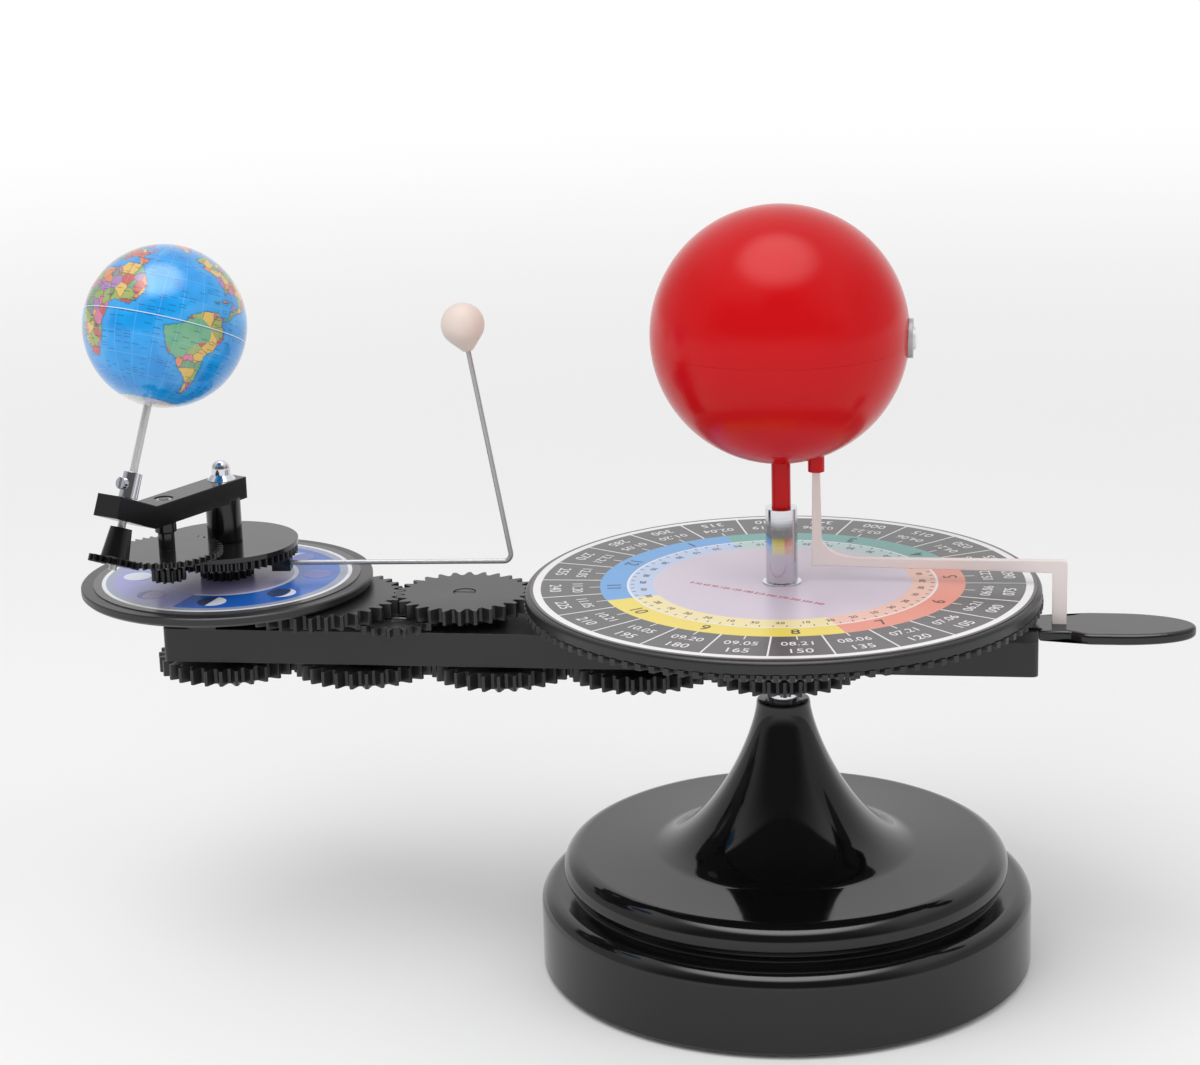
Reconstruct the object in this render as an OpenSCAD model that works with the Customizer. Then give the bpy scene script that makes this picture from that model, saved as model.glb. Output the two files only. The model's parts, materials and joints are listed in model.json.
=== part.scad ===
// Desk tellurion: a geared sun, Earth and Moon model.
// Millimetres, +Z up. The origin is on the post axis at the surface that the stand rests on.
// The beam lies along X: the Earth end at -X, the hand paddle at +X.

/* [Gears] */
// Module of the dial, upper and lower trains
gear_module = 1.5; // [1.45:0.01:1.55]
// Play between meshing flanks of these trains
gear_backlash = 0.3; // [0.2:0.05:0.4]
// Teeth of each of the five equal lower gears
lower_teeth = 30; // [30:1:32]
// Teeth of the fixed dial gear
dial_teeth = 108; // [100:1:110]
// Teeth of the large upper gear that runs on the dial
main_teeth = 28; // [26:1:29]
// Teeth of the pinion under the large upper gear
low_pinion_teeth = 16; // [15:1:17]
// Teeth of the small gear beside that pinion
small_teeth = 16; // [14:1:17]
// Teeth of the moon pinion
moon_teeth = 9; // [9:1:10]
// Thickness of the lower gears
lower_gear_t = 5; // [4:0.5:6]
// Thickness of the large upper gear
main_gear_t = 4.6; // [4.2:0.1:4.8]
// Thickness of the idler under the phase disc
idler_t = 4.6; // [4:0.1:5]
// Thickness of the small gear layer
low_layer_t = 2.5; // [2:0.1:3]

/* [Earth drive] */
// Module of the gears on the Earth carrier
fine_module = 0.8; // [0.75:0.01:0.85]
// Play between meshing flanks of these gears
fine_backlash = 0.22; // [0.15:0.01:0.3]
// Teeth of the moon gear
moon_gear_teeth = 56; // [52:1:58]
// Teeth of the pinion that runs on the moon gear
axle_pinion_teeth = 12; // [11:1:14]
// Teeth of the disc gear on the carrier axle
axle_disc_teeth = 42; // [38:1:44]
// Teeth of the tilted pinion of the Earth
earth_pinion_teeth = 18; // [16:1:20]
// Tilt of the Earth's axis from vertical, in degrees
earth_tilt = 23.5; // [20:0.5:26]

/* [Stand] */
// Radius of the lower tier of the base
base_r = 79; // [74:1:84]
// Height of the lower tier
base_tier_h = 27; // [24:1:30]
// Radius of the upper tier
base_top_r = 71.5; // [68:0.5:73]
// Height of the flat top of the upper tier
base_top_h = 39; // [36:1:42]
// Radius where the trumpet neck leaves the flat top
neck_foot_r = 43; // [38:1:48]
// Radius of the trumpet neck at its lip
neck_r = 8.6; // [8:0.1:10]
// Height of the lip of the neck
neck_h = 88; // [82:1:94]
// Wall of the base shell
base_wall = 3; // [2:0.5:4]
// Thickness of the bottom cover
cover_t = 2; // [1.5:0.5:3]
// Thickness of the rubber pad under the base
foot_h = 1; // [0.6:0.1:2]
// Radius of the chrome post
post_r = 5; // [4.5:0.1:5.6]
// Length of post above the dial
post_above = 24.3; // [20:0.1:28]

/* [Dial] */
// Height of the ring of teeth under the dial
dial_tooth_h = 1.9; // [1.6:0.1:2.4]
// Height of the dial's smooth rim
dial_rim_h = 4.1; // [3.6:0.1:4.6]
// Width of the wall under the rim
dial_rim_w = 4; // [3:0.5:6]
// Thickness of the dial plate inside the rim
dial_plate_t = 2.3; // [1.8:0.1:2.8]
// How far the rim stays inside the full tooth height
dial_rim_inset = 1.2; // [0.8:0.1:1.6]
// How far the trimmed teeth stand out past the rim
dial_tooth_out = 0.35; // [0.3:0.05:0.6]
// Plain border between the label and the edge of the rim
dial_border = 1.6; // [1.5:0.1:4]
// Thickness of the printed labels
label_t = 0.3; // [0.2:0.05:0.5]

/* [Beam] */
// Width of the beam
beam_w = 40; // [36:1:44]
// Height of the beam
beam_h = 11; // [9:0.5:12]
// Thickness of the top plate and walls of the beam
beam_wall = 2.5; // [2:0.1:3]
// Length of beam past the Earth axis
beam_tail = 17; // [15:0.5:20]
// Length of beam past the post, towards the paddle
beam_nose = 80; // [78:0.5:82]
// Corner radius of the beam in plan
beam_corner = 2; // [1:0.5:4]

/* [Handle and bracket] */
// Length of the rounded paddle past the neck
paddle_l = 40.4; // [36:0.2:46]
// Width of the paddle
paddle_w = 24; // [20:1:30]
// Thickness of the paddle
paddle_t = 3.5; // [3:0.1:4.5]
// Height of the paddle's top above the beam
paddle_rise = 0.5; // [0.3:0.1:1]
// Rounding of the paddle's edges
paddle_edge = 1.1; // [0.6:0.1:1.4]
// Length of the straight neck past the beam's end
handle_neck_l = 8; // [7:0.5:10]
// Width of the neck
handle_neck_w = 17; // [14:0.5:19]
// Length of the tongue in the beam's end
tongue_l = 22; // [20:0.5:24]
// Width of the tongue
tongue_w = 12; // [10:0.5:13]
// Width of the thick leg of the sun bracket
bracket_leg = 4.5; // [4:0.1:5]
// Gap between the dial's rim and the thick leg
bracket_gap = 3; // [2:0.1:4]
// Depth of the bracket's bar at the thick leg
bracket_bar = 3.7; // [3:0.1:4.2]
// Depth of the bar at the thin leg
bracket_bar_thin = 2.2; // [2:0.1:2.8]
// Width of the thin leg in the sun's lug
bracket_pin = 2.3; // [2:0.1:2.8]
// Width of the thin leg at the bar
bracket_pin_foot = 3.1; // [2.8:0.1:3.6]
// Thickness of the bracket across its plane
bracket_t = 3; // [2.5:0.1:3.4]
// Height of the bar above the dial
bracket_rise = 4.4; // [4:0.1:8]
// Distance of the thin leg from the post axis
bracket_pin_x = 11; // [10.6:0.1:13]

/* [Sun] */
// Radius of the sun
sun_r = 40; // [37:0.5:43]
// Wall of the sun shells
sun_wall = 2.2; // [1.6:0.1:3]
// Height of the sun's centre above the top of the post
sun_rise = 55.1; // [53:0.1:60]
// How far the seam lies below the sun's equator
sun_seam = 2.8; // [0:0.1:5]
// Radius of the sun's stem
stem_r = 3; // [2.5:0.1:3.4]
// Radius of the switch button
button_r = 3.5; // [3:0.1:4]
// Travel of the switch button
button_travel = 1.2; // [0.8:0.1:1.4]

/* [Moon and phase disc] */
// Radius of the phase disc
phase_r = 47; // [44:0.5:50]
// Thickness of the phase disc
phase_t = 3; // [2.5:0.1:4]
// Plain border round the phase label
phase_border = 4; // [3:0.5:6]
// Outer radius of the skirt under the phase disc
skirt_r = 21.5; // [20:0.5:24]
// Wall of the skirt
skirt_wall = 2; // [1.5:0.1:2.5]
// Radius of the moon ball
moon_r = 6.9; // [6:0.1:8]
// Distance of the moon from the Earth axis
moon_orbit = 80; // [76:1:84]
// Distance of the wire's bend from the Earth axis
moon_elbow = 93; // [89:1:95]
// Height of the moon's centre above the phase label
moon_rise = 81.7; // [76:0.1:88]
// Radius of the moon wire
wire_r = 0.8; // [0.6:0.05:1]
// Bend radius of the moon wire
wire_bend = 4; // [3:0.5:6]
// Height of the splined foot under the moon gear
moon_foot_h = 6.9; // [6.5:0.1:8]

/* [Earth and carrier] */
// Radius of the Earth globe
earth_r = 25.4; // [23:0.2:27]
// Wall of the globe's half shells
earth_wall = 1.6; // [1.2:0.1:2.2]
// Distance along the rod from the tilted pinion to the globe's centre
earth_rise = 74.8; // [70:0.2:80]
// Radius of the Earth rod
rod_r = 1.25; // [1:0.05:1.5]
// Height of the carrier's column between moon gear and arm
column_h = 12.9; // [12.4:0.1:14]
// Radius of the column
column_r = 5.6; // [4.5:0.1:6]
// Thickness of the carrier's arm
arm_t = 7; // [6:0.1:8]
// Width of the carrier's arm
arm_w = 10; // [9:0.5:12]
// Distance along the rod from the tilted pinion to the middle of the arm's raised end
arm_seat = 16.2; // [15.6:0.1:17.2]
// Length of the arm's raised end past the rod
arm_over = 8; // [6:0.5:10]
// Radius of the carrier's shaft
shaft_r = 2; // [1.8:0.05:2.2]

/* [Fits] */
// Radial clearance of turning fits
run_fit = 0.05; // [0.03:0.01:0.08]
// Radial clearance of fixed fits
seat_fit = 0.02; // [0.01:0.005:0.03]
// Gap between faces that move past each other
face_gap = 0.4; // [0.3:0.05:0.5]

/* [Hidden] */
$fn = 64;

// Colours
black = "#1c1c1d";
gear_black = "#262627";
chrome = "#d6d9dc";
cream = "#e9dfd2";
sun_red = "#c4141f";

// Heights, from the surface upwards
neck_gap = 2.5;
hub_h = 5.5;
lower_z = neck_h + neck_gap + hub_h;
lower_top = lower_z + lower_gear_t;
washer_t = 0.6;
beam_z = lower_top + 2;
beam_top = beam_z + beam_h;
low_layer_z = beam_top + face_gap;
upper_z = low_layer_z + low_layer_t + 0.3;
main_top = upper_z + main_gear_t;
dial_rim_z = main_top + face_gap;
dial_tooth_z = dial_rim_z - dial_tooth_h;
dial_top = dial_rim_z + dial_rim_h;
dial_face = dial_top + label_t;
paddle_z = beam_top + paddle_rise - paddle_t;
phase_z = upper_z + idler_t + 1;
phase_top = phase_z + phase_t;
phase_face = phase_top + label_t;
post_top = dial_face + post_above;
sun_z = post_top + sun_rise;
seam_z = sun_z - sun_seam;
pin_top = sun_z - sqrt(sun_r ^ 2 - bracket_pin_x ^ 2) + 3;
lug_z = pin_top - 7.9;
moon_foot_z = phase_face + face_gap;
wire_z = moon_foot_z + 3.8;
moon_tooth_z = moon_foot_z + moon_foot_h;
moon_tooth_t = 3;
moon_flange_t = 1.6;
moon_gear_top = moon_tooth_z + moon_tooth_t + moon_flange_t;
column_z = moon_gear_top + face_gap;
arm_z = column_z + column_h;
arm_mid = arm_z + arm_t / 2;
arm_top = arm_z + arm_t;

// Places along the beam, as distances from the post towards the Earth
orbit_r = 2 * lower_teeth * gear_module * 2;
lower_pitch = lower_teeth * gear_module;
main_x = (dial_teeth + main_teeth) * gear_module / 2;
main_to_earth = orbit_r - main_x;
idler_teeth = ceil(main_to_earth / gear_module - (main_teeth + moon_teeth) / 2);
main_to_idler = (main_teeth + idler_teeth) * gear_module / 2;
idler_to_moon = (idler_teeth + moon_teeth) * gear_module / 2;
idler_along = (main_to_idler ^ 2 - idler_to_moon ^ 2 + main_to_earth ^ 2) / (2 * main_to_earth);
idler_x = main_x + idler_along;
idler_y = -sqrt(max(0, main_to_idler ^ 2 - idler_along ^ 2));
small_turn = 215;
small_reach = (low_pinion_teeth + small_teeth) * gear_module / 2;
small_x = main_x - small_reach * cos(small_turn);
small_y = small_reach * sin(small_turn);
dial_r = tip_r(dial_teeth, gear_module) - dial_rim_inset;
bracket_leg_x = dial_r + bracket_gap + bracket_leg / 2;

// The carrier, in its own frame: x runs out from the Earth axis along the arm
carrier_turn = 244;
moon_turn = 4;
axle_d = (moon_gear_teeth + axle_pinion_teeth) * fine_module / 2;
wire_lug_l = 6;
wire_lug_x = axle_d - tip_r(axle_pinion_teeth, fine_module) - face_gap - 0.1 - wire_lug_l;
axle_pitch = axle_disc_teeth * fine_module / 2;
earth_pitch = earth_pinion_teeth * fine_module / 2;
axle_disc_t = 2;
axle_disc_z = moon_gear_top + 1.7;
mesh_z = axle_disc_z + axle_disc_t / 2;
mesh_relief = 0.5;
rod_d = axle_d + axle_pitch + earth_pitch * cos(earth_tilt) + mesh_relief;
rod_z = mesh_z + earth_pitch * sin(earth_tilt);
seat_run = (arm_mid - rod_z - arm_seat * cos(earth_tilt)) / sin(earth_tilt);
knee_d = rod_d - arm_seat * sin(earth_tilt) + seat_run * cos(earth_tilt);
end_run = arm_over - seat_run;
pinion_half = 1.1;
collar_s = arm_seat + arm_t / 2 + face_gap;
collar_h = 8;
collar_r = 3;

// Tooth phases at rest, each from the gear that drives it
dial_phase = 0;
main_phase = mesh_phase(dial_phase, dial_teeth, main_teeth, 180);
small_phase = mesh_phase(main_phase, low_pinion_teeth, small_teeth, small_turn);
idler_turn = atan2(idler_y, main_x - idler_x);
idler_phase = mesh_phase(main_phase, main_teeth, idler_teeth, idler_turn);
moon_from_idler = atan2(-idler_y, idler_x - orbit_r);
moon_phase = mesh_phase(idler_phase, idler_teeth, moon_teeth, moon_from_idler);
d_phase = mesh_phase(0, lower_teeth, lower_teeth, 180);
c_phase = mesh_phase(d_phase, lower_teeth, lower_teeth, 180);
b_phase = mesh_phase(c_phase, lower_teeth, lower_teeth, 180);
a_phase = mesh_phase(b_phase, lower_teeth, lower_teeth, 180);
axle_phase = mesh_phase(moon_turn - carrier_turn, moon_gear_teeth, axle_pinion_teeth, 0);
earth_phase = mesh_phase(0, axle_disc_teeth, earth_pinion_teeth, 0);

// Small fixed sizes
boss_r = 6;
lower_pin_r = 3;
upper_pin_r = 2.6;
head_r = 3.3;
head_h = 1.2;
head_sink = 1.5;
sleeve_r = 4;
axle_r = 1.5;
axle_neck_r = 2.6;
axle_boss_r = 3.4;
axle_boss_h = 3.6;
clip_w = 1.2;
clip_sink = 1.8;
column_screw_r = 1.5;
handle_screw_r = 1.5;
handle_screw_x = beam_nose - tongue_l + 10;
stem_depth = 18;
boss_h = 10;
battery_size = [30, 20, 17];
skirt_notch_turn = -76;
skirt_notch_w = 8;
skirt_notch_h = 2.4;

// Involute function of a pressure angle, in degrees
function inv(a) = tan(a) * 180 / PI - a;

// Radius of the tooth tips of a gear with n teeth of module m
function tip_r(n, m) = (n / 2 + 0.9) * m;

// Radius of the tooth roots
function root_r(n, m) = (n / 2 - 1.2) * m;

// Half angle of a tooth at its pitch circle
function half_pitch(n, m, play) = (PI * m / 2 - play) / (n * m) * 180 / PI;

// Half angle of a tooth at its tip
function half_tip(n, m, play) =
    half_pitch(n, m, play) + inv(20) - inv(acos(n / 2 * cos(20) / (n / 2 + 0.9)));

// Radius and half angle at each step of one flank, from root to tip
function flank(n, m, play) =
    let (p = half_pitch(n, m, play), t = half_tip(n, m, play))
    n < 20 ? [[root_r(n, m), p * 1.08], [n * m / 2, p], [tip_r(n, m), t]]
           : [[root_r(n, m), p + (p - t) * 1.2 / 0.9], [tip_r(n, m), t]];

// Phase of a gear of n2 teeth that lies at angle beta from a gear of n1 teeth with phase p1
function mesh_phase(p1, n1, n2, beta) = beta + 180 - 180 / n2 - (p1 - beta) * n1 / n2;

// Points of a rectangle with rounded corners, from x0 to x1 and w wide
function round_rect(x0, x1, w, r) =
    [for (q = [0 : 3]) for (k = [0 : 4]) let (a = (q + k / 4) * 90)
        [q == 0 || q == 3 ? x1 - r : x0 + r, q < 2 ? w / 2 - r : r - w / 2] + r * [cos(a), sin(a)]];

// Points of a closed outline moved inwards by d
function inset(path, d) =
    let (n = len(path))
    [for (i = [0 : n - 1]) let (run = path[(i + 1) % n] - path[(i + n - 1) % n])
        path[i] + d / norm(run) * [-run[1], run[0]]];

// Points of an arc of an ellipse about c, from angle a0 to a1
function oval_arc(c, rx, ry, a0, a1, n = 6) =
    [for (k = [0 : n]) let (a = a0 + (a1 - a0) * k / n) [c[0] + rx * cos(a), c[1] + ry * sin(a)]];

// Points of an arc about c, from angle a0 to a1
function arc(c, r, a0, a1, n = 6) = oval_arc(c, r, r, a0, a1, n);

// Outline of a spur gear with a tooth centred on its phase angle
module gear_2d(n, m, play, phase = 0) {
    steps = flank(n, m, play);
    last = len(steps) - 1;
    half = concat([for (k = [0 : last]) [steps[k][0], -steps[k][1]]],
                  [for (k = [last : -1 : 0]) [steps[k][0], steps[k][1]]]);
    polygon([for (i = [0 : n - 1]) for (q = half)
        let (a = phase + i * 360 / n + q[1]) [q[0] * cos(a), q[0] * sin(a)]]);
}

// Spur gear of thickness t with a bore of radius bore
module spur(n, m, play, phase, t, bore) {
    difference() {
        linear_extrude(t) gear_2d(n, m, play, phase);
        translate([0, 0, -1]) cylinder(r = bore, h = t + 2);
    }
}

// Moves children to a place along the beam, x measured towards the Earth
module along(x, y = 0, z = 0) {
    translate([-x, y, z]) children();
}

// Puts children on the Earth axis, turned about it
module at_earth(turn = 0) {
    translate([-orbit_r, 0, 0]) rotate(turn) children();
}

// Puts children on the tilted Earth rod, z along the rod from the tilted pinion
module on_rod() {
    at_earth(carrier_turn) translate([rod_d, 0, rod_z]) rotate([0, -earth_tilt, 0]) children();
}

// Stands a profile drawn in x and z upright, t thick across y
module upright(t) {
    rotate([90, 0, 0]) linear_extrude(t, center = true) children();
}

// Slotted screw that stands on z: shank up to the head, head on top
module slotted_screw(shank_r, shank_h, cap_r, cap_h) {
    difference() {
        union() {
            cylinder(r = shank_r, h = shank_h);
            translate([0, 0, shank_h]) cylinder(r = cap_r, h = cap_h);
        }
        translate([-cap_r - 1, -0.4, shank_h + cap_h * 0.5]) cube([2 * cap_r + 2, 0.8, cap_h]);
    }
}

// Stand: two round tiers and a trumpet neck that holds the post
module base_shell() {
    edge = 5;
    rim = 4;
    step_z = base_tier_h + 1.5;
    lip_z = neck_h - 1.5;
    steps = 20;
    trumpet = [for (k = [0 : steps]) let (a = k * 86 / steps)
        [neck_foot_r - (neck_foot_r - neck_r) * cos(a) ^ 1.18,
         lip_z - (lip_z - base_top_h) * sin(a) ^ 1.48]];
    outer = concat(
        [[0, foot_h], [base_r - 1, foot_h], [base_r, foot_h + 1]],
        arc([base_r - edge, base_tier_h - edge], edge, 0, 90, 10),
        [[base_top_r - 0.5, base_tier_h], [base_top_r - 2, base_tier_h + 0.6], [base_top_r - 2, step_z]],
        arc([base_top_r - rim, step_z + rim], rim, -60, 0),
        arc([base_top_r - rim - 2, base_top_h - rim - 2], rim + 2, 15, 90, 10),
        [[neck_foot_r, base_top_h]],
        [for (k = [steps : -1 : 0]) trumpet[k]],
        [[neck_r - 0.6, neck_h], [0, neck_h]]);
    color(black) difference() {
        rotate_extrude() polygon(outer);
        translate([0, 0, foot_h - 1])
            cylinder(r = base_r - base_wall, h = base_tier_h - 8 - foot_h + 1);
        difference() {
            translate([0, 0, foot_h]) cylinder(r = base_top_r - 10, h = base_top_h - base_wall - foot_h);
            translate([0, 0, foot_h + cover_t]) cylinder(r = post_r + 6, h = base_top_h);
        }
        translate([0, 0, foot_h + cover_t + 1]) cylinder(r = post_r + seat_fit, h = neck_h);
    }
}

// Plate that closes the underside of the base
module base_cover() {
    color(gear_black) translate([0, 0, foot_h])
        cylinder(r = base_r - base_wall - 0.15, h = cover_t);
}

// Rubber pad that the stand rests on
module foot_pad() {
    color("#101010") cylinder(r = base_r - 7, h = foot_h);
}

// Chrome tube that carries the gears, the dial and the sun
module post() {
    color(chrome) difference() {
        translate([0, 0, foot_h + cover_t + 1]) cylinder(r = post_r, h = post_top - foot_h - cover_t - 1);
        translate([0, 0, post_top - stem_depth - 2]) cylinder(r = stem_r + run_fit, h = stem_depth + 3);
    }
}

// First of the five lower gears, fixed to the post by its splined hub
module fixed_gear() {
    color(gear_black) {
        translate([0, 0, lower_z])
            spur(lower_teeth, gear_module, gear_backlash, 0, lower_gear_t, post_r + seat_fit);
        translate([0, 0, lower_z - hub_h])
            spur(16, fine_module, fine_backlash, 0, hub_h, post_r + seat_fit);
    }
}

// Washer that the beam turns on
module thrust_washer() {
    color(chrome) translate([0, 0, lower_top]) difference() {
        cylinder(r = post_r + 4, h = washer_t);
        translate([0, 0, -1]) cylinder(r = post_r + seat_fit, h = washer_t + 2);
    }
}

// Thin toothed disc under the dial, fixed to the post by its hub
module dial_gear() {
    hub_z = beam_top + face_gap + 0.25;
    hub_t = dial_top - dial_plate_t - hub_z;
    color(gear_black) difference() {
        union() {
            intersection() {
                translate([0, 0, dial_tooth_z]) linear_extrude(dial_tooth_h)
                    gear_2d(dial_teeth, gear_module, gear_backlash, dial_phase);
                translate([0, 0, dial_tooth_z - 1])
                    cylinder(r = dial_r + dial_tooth_out, h = dial_tooth_h + 2);
            }
            translate([0, 0, hub_z]) cylinder(r = post_r + 5, h = hub_t);
        }
        translate([0, 0, hub_z - 1]) cylinder(r = post_r + seat_fit, h = hub_t + 2);
    }
}

// Smooth dial plate with a rounded rim, seated on the toothed disc
module dial_plate() {
    edge = 1.5;
    under = dial_rim_h - dial_plate_t;
    color(gear_black) translate([0, 0, dial_rim_z]) difference() {
        rotate_extrude() polygon(concat([[0, under], [dial_r - dial_rim_w, under], [dial_r - dial_rim_w, 0],
            [dial_r - 0.3, 0], [dial_r, 0.3]], arc([dial_r - edge, dial_rim_h - edge], edge, 0, 90),
            [[0, dial_rim_h]]));
        translate([0, 0, -1]) cylinder(r = post_r + seat_fit, h = dial_rim_h + 2);
    }
}

// Printed dial face
module dial_label() {
    color("#8f93c8") translate([0, 0, dial_top]) difference() {
        cylinder(r = dial_r - dial_border, h = label_t);
        translate([0, 0, -1]) cylinder(r = post_r + seat_fit, h = label_t + 2);
    }
}

// Turning beam: an open channel with bosses for the post, the shaft and the axles
module beam() {
    tail = orbit_r + beam_tail;
    plate = beam_top - beam_wall;
    notch = beam_nose - tongue_l;
    color(black) difference() {
        union() {
            difference() {
                translate([0, 0, beam_z]) linear_extrude(beam_h)
                    polygon(round_rect(-tail, beam_nose, beam_w, beam_corner));
                translate([0, 0, beam_z - 1]) linear_extrude(beam_h - beam_wall + 1)
                    polygon(round_rect(beam_wall - tail, beam_nose - beam_wall,
                                       beam_w - 2 * beam_wall, beam_corner));
            }
            translate([0, 0, lower_top + washer_t + 0.1])
                cylinder(r = post_r + 4, h = beam_top - lower_top - washer_t - 0.1);
            along(orbit_r, 0, lower_top + face_gap) cylinder(r = boss_r, h = beam_top - lower_top - face_gap);
            for (k = [1 : 3]) along(k * lower_pitch, 0, lower_top + face_gap)
                cylinder(r = boss_r, h = plate - lower_top);
            for (p = [[main_x, 0], [small_x, small_y], [idler_x, idler_y]])
                along(p[0], p[1], beam_z + 0.5) cylinder(r = upper_pin_r + 2, h = beam_h - 0.5);
            translate([notch, -tongue_w / 2 - 2, beam_z + 0.5])
                cube([tongue_l, tongue_w + 4, paddle_z - beam_z - 0.5]);
        }
        translate([0, 0, beam_z - 5]) cylinder(r = post_r + run_fit, h = beam_h + 10);
        along(orbit_r, 0, beam_z - 5) cylinder(r = shaft_r + run_fit, h = beam_h + 10);
        for (k = [1 : 3]) along(k * lower_pitch, 0, lower_top - 1)
            cylinder(r = lower_pin_r + seat_fit, h = plate - lower_top);
        for (p = [[main_x, 0], [small_x, small_y], [idler_x, idler_y]])
            along(p[0], p[1], beam_z + 2) cylinder(r = upper_pin_r + seat_fit, h = beam_h);
        translate([notch, -tongue_w / 2 - 0.1, paddle_z]) cube([tongue_l + 1, tongue_w + 0.2, beam_h]);
        translate([handle_screw_x, 0, beam_z + 2]) cylinder(r = handle_screw_r + seat_fit, h = beam_h);
    }
}

// Flat slab of thickness t over an outline, with edges rounded by e
module rounded_slab(path, t, e) {
    n = len(path);
    steps = concat([for (a = [0 : 30 : 90]) [e - e * sin(a), e - e * cos(a)]],
                   [for (a = [0 : 30 : 90]) [e - e * cos(a), t - e + e * sin(a)]]);
    last = len(steps) - 1;
    rings = [for (s = steps) for (p = inset(path, s[0])) [p[0], p[1], s[1]]];
    walls = [for (i = [0 : last - 1]) for (k = [0 : n - 1]) let (m = (k + 1) % n)
        [i * n + k, (i + 1) * n + k, (i + 1) * n + m, i * n + m]];
    ends = [[for (k = [0 : n - 1]) k], [for (k = [n - 1 : -1 : 0]) last * n + k]];
    polyhedron(rings, concat(walls, ends));
}

// Hand paddle with a wide neck, a tongue in the beam's end and a hole for the bracket
module handle() {
    start = beam_nose + 0.1;
    widen = beam_nose + handle_neck_l;
    blend = 8;
    nose = 0.6 * paddle_l;
    side = [for (k = [0 : 8]) let (u = k / 8)
        [widen + blend * u, handle_neck_w / 2 + (paddle_w - handle_neck_w) * (1 - cos(180 * u)) / 4]];
    path = concat([[start, -handle_neck_w / 2]], [for (p = side) [p[0], -p[1]]],
        oval_arc([widen + paddle_l - nose, 0], nose, paddle_w / 2, -90, 90, 28),
        [for (k = [8 : -1 : 0]) side[k]], [[start, handle_neck_w / 2]]);
    color(black) difference() {
        union() {
            translate([0, 0, paddle_z]) rounded_slab(path, paddle_t, paddle_edge);
            translate([beam_nose - tongue_l + 0.1, -tongue_w / 2, paddle_z])
                cube([tongue_l + handle_neck_l, tongue_w, paddle_t]);
        }
        translate([bracket_leg_x, 0, paddle_z + 1]) linear_extrude(paddle_t)
            square([bracket_leg + 0.1, bracket_t + 0.1], center = true);
        translate([handle_screw_x, 0, paddle_z - 1]) cylinder(r = handle_screw_r + 0.1, h = paddle_t + 2);
    }
}

// Screw that holds the handle's tongue
module handle_screw() {
    foot_z = beam_z + 2.2;
    color(chrome) translate([handle_screw_x, 0, foot_z])
        slotted_screw(handle_screw_r, paddle_z + paddle_t - foot_z, handle_screw_r + 1.3, 1.2);
}

// Cream bracket that makes the sun turn with the beam
module bracket() {
    right = bracket_leg_x + bracket_leg / 2;
    bar_top = dial_face + bracket_rise + bracket_bar;
    taper_z = lug_z - 2;
    corner = 1.2;
    sweep = [12, 6.6];
    thick = bracket_pin_foot / 2;
    thin = bracket_pin / 2;
    color(cream) upright(bracket_t) polygon(concat(
        [[right - bracket_leg, paddle_z + 1], [right, paddle_z + 1]],
        arc([right - corner, bar_top - corner], corner, 0, 90),
        oval_arc([bracket_pin_x + thick, bar_top] + sweep, sweep[0], sweep[1], -90, -180, 10),
        [[bracket_pin_x + thin, taper_z], [bracket_pin_x + thin, pin_top],
         [bracket_pin_x - thin, pin_top], [bracket_pin_x - thin, taper_z],
         [bracket_pin_x - thick, bar_top - bracket_bar_thin],
         [right - bracket_leg, bar_top - bracket_bar]]));
}

// Fixed disc under the Earth
module phase_disc() {
    edge = 0.8;
    color(gear_black) along(orbit_r, 0, phase_z) difference() {
        rotate_extrude() polygon([[0, 0], [phase_r - edge, 0], [phase_r, edge],
            [phase_r, phase_t - edge / 2], [phase_r - edge / 2, phase_t], [0, phase_t]]);
        translate([0, 0, -1]) cylinder(r = sleeve_r + 0.4, h = phase_t + 2);
    }
}

// Round wall that carries the disc, open towards the gears and notched in front
module phase_skirt() {
    h = phase_z - beam_top;
    color(gear_black) difference() {
        along(orbit_r, 0, beam_top) cylinder(r = skirt_r, h = h);
        along(orbit_r, 0, beam_top - 1) cylinder(r = skirt_r - skirt_wall, h = h + 2);
        along(idler_x, idler_y, beam_top - 1) cylinder(r = tip_r(idler_teeth, gear_module) + 1, h = h + 2);
        at_earth(skirt_notch_turn) translate([skirt_r - 2 * skirt_wall, -skirt_notch_w / 2, beam_top - 1])
            cube([4 * skirt_wall, skirt_notch_w, skirt_notch_h + 1]);
    }
}

// Printed phase disc face
module phase_label() {
    color("#3f6fc4") along(orbit_r, 0, phase_top) difference() {
        cylinder(r = phase_r - phase_border, h = label_t);
        translate([0, 0, -1]) cylinder(r = sleeve_r + 0.4, h = label_t + 2);
    }
}

// Axle screw of a lower idler, head below the gear
module lower_screw(k) {
    top = beam_top - beam_wall - 1.5;
    head_z = lower_z - face_gap;
    color(chrome) along(k * lower_pitch, 0, top) rotate([180, 0, 0])
        slotted_screw(lower_pin_r, top - head_z, lower_pin_r + 2, 2);
}

module screw_d() { lower_screw(1); }
module screw_c() { lower_screw(2); }
module screw_b() { lower_screw(3); }

// Axle screw of an upper gear whose top face is at height top
module upper_screw(x, y, top) {
    foot_z = beam_z + 2.2;
    color(chrome) along(x, y, foot_z)
        slotted_screw(upper_pin_r, top - head_sink + 0.15 - foot_z, head_r, head_h);
}

module screw_main() { upper_screw(main_x, 0, main_top); }
module screw_small() { upper_screw(small_x, small_y, low_layer_z + low_layer_t); }
module screw_idler() { upper_screw(idler_x, idler_y, upper_z + idler_t); }

// Red stem that turns in the top of the post
module sun_stem() {
    color(sun_red) translate([0, 0, post_top - stem_depth])
        cylinder(r = stem_r, h = sun_z - sun_r + boss_h - post_top + stem_depth);
}

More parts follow.
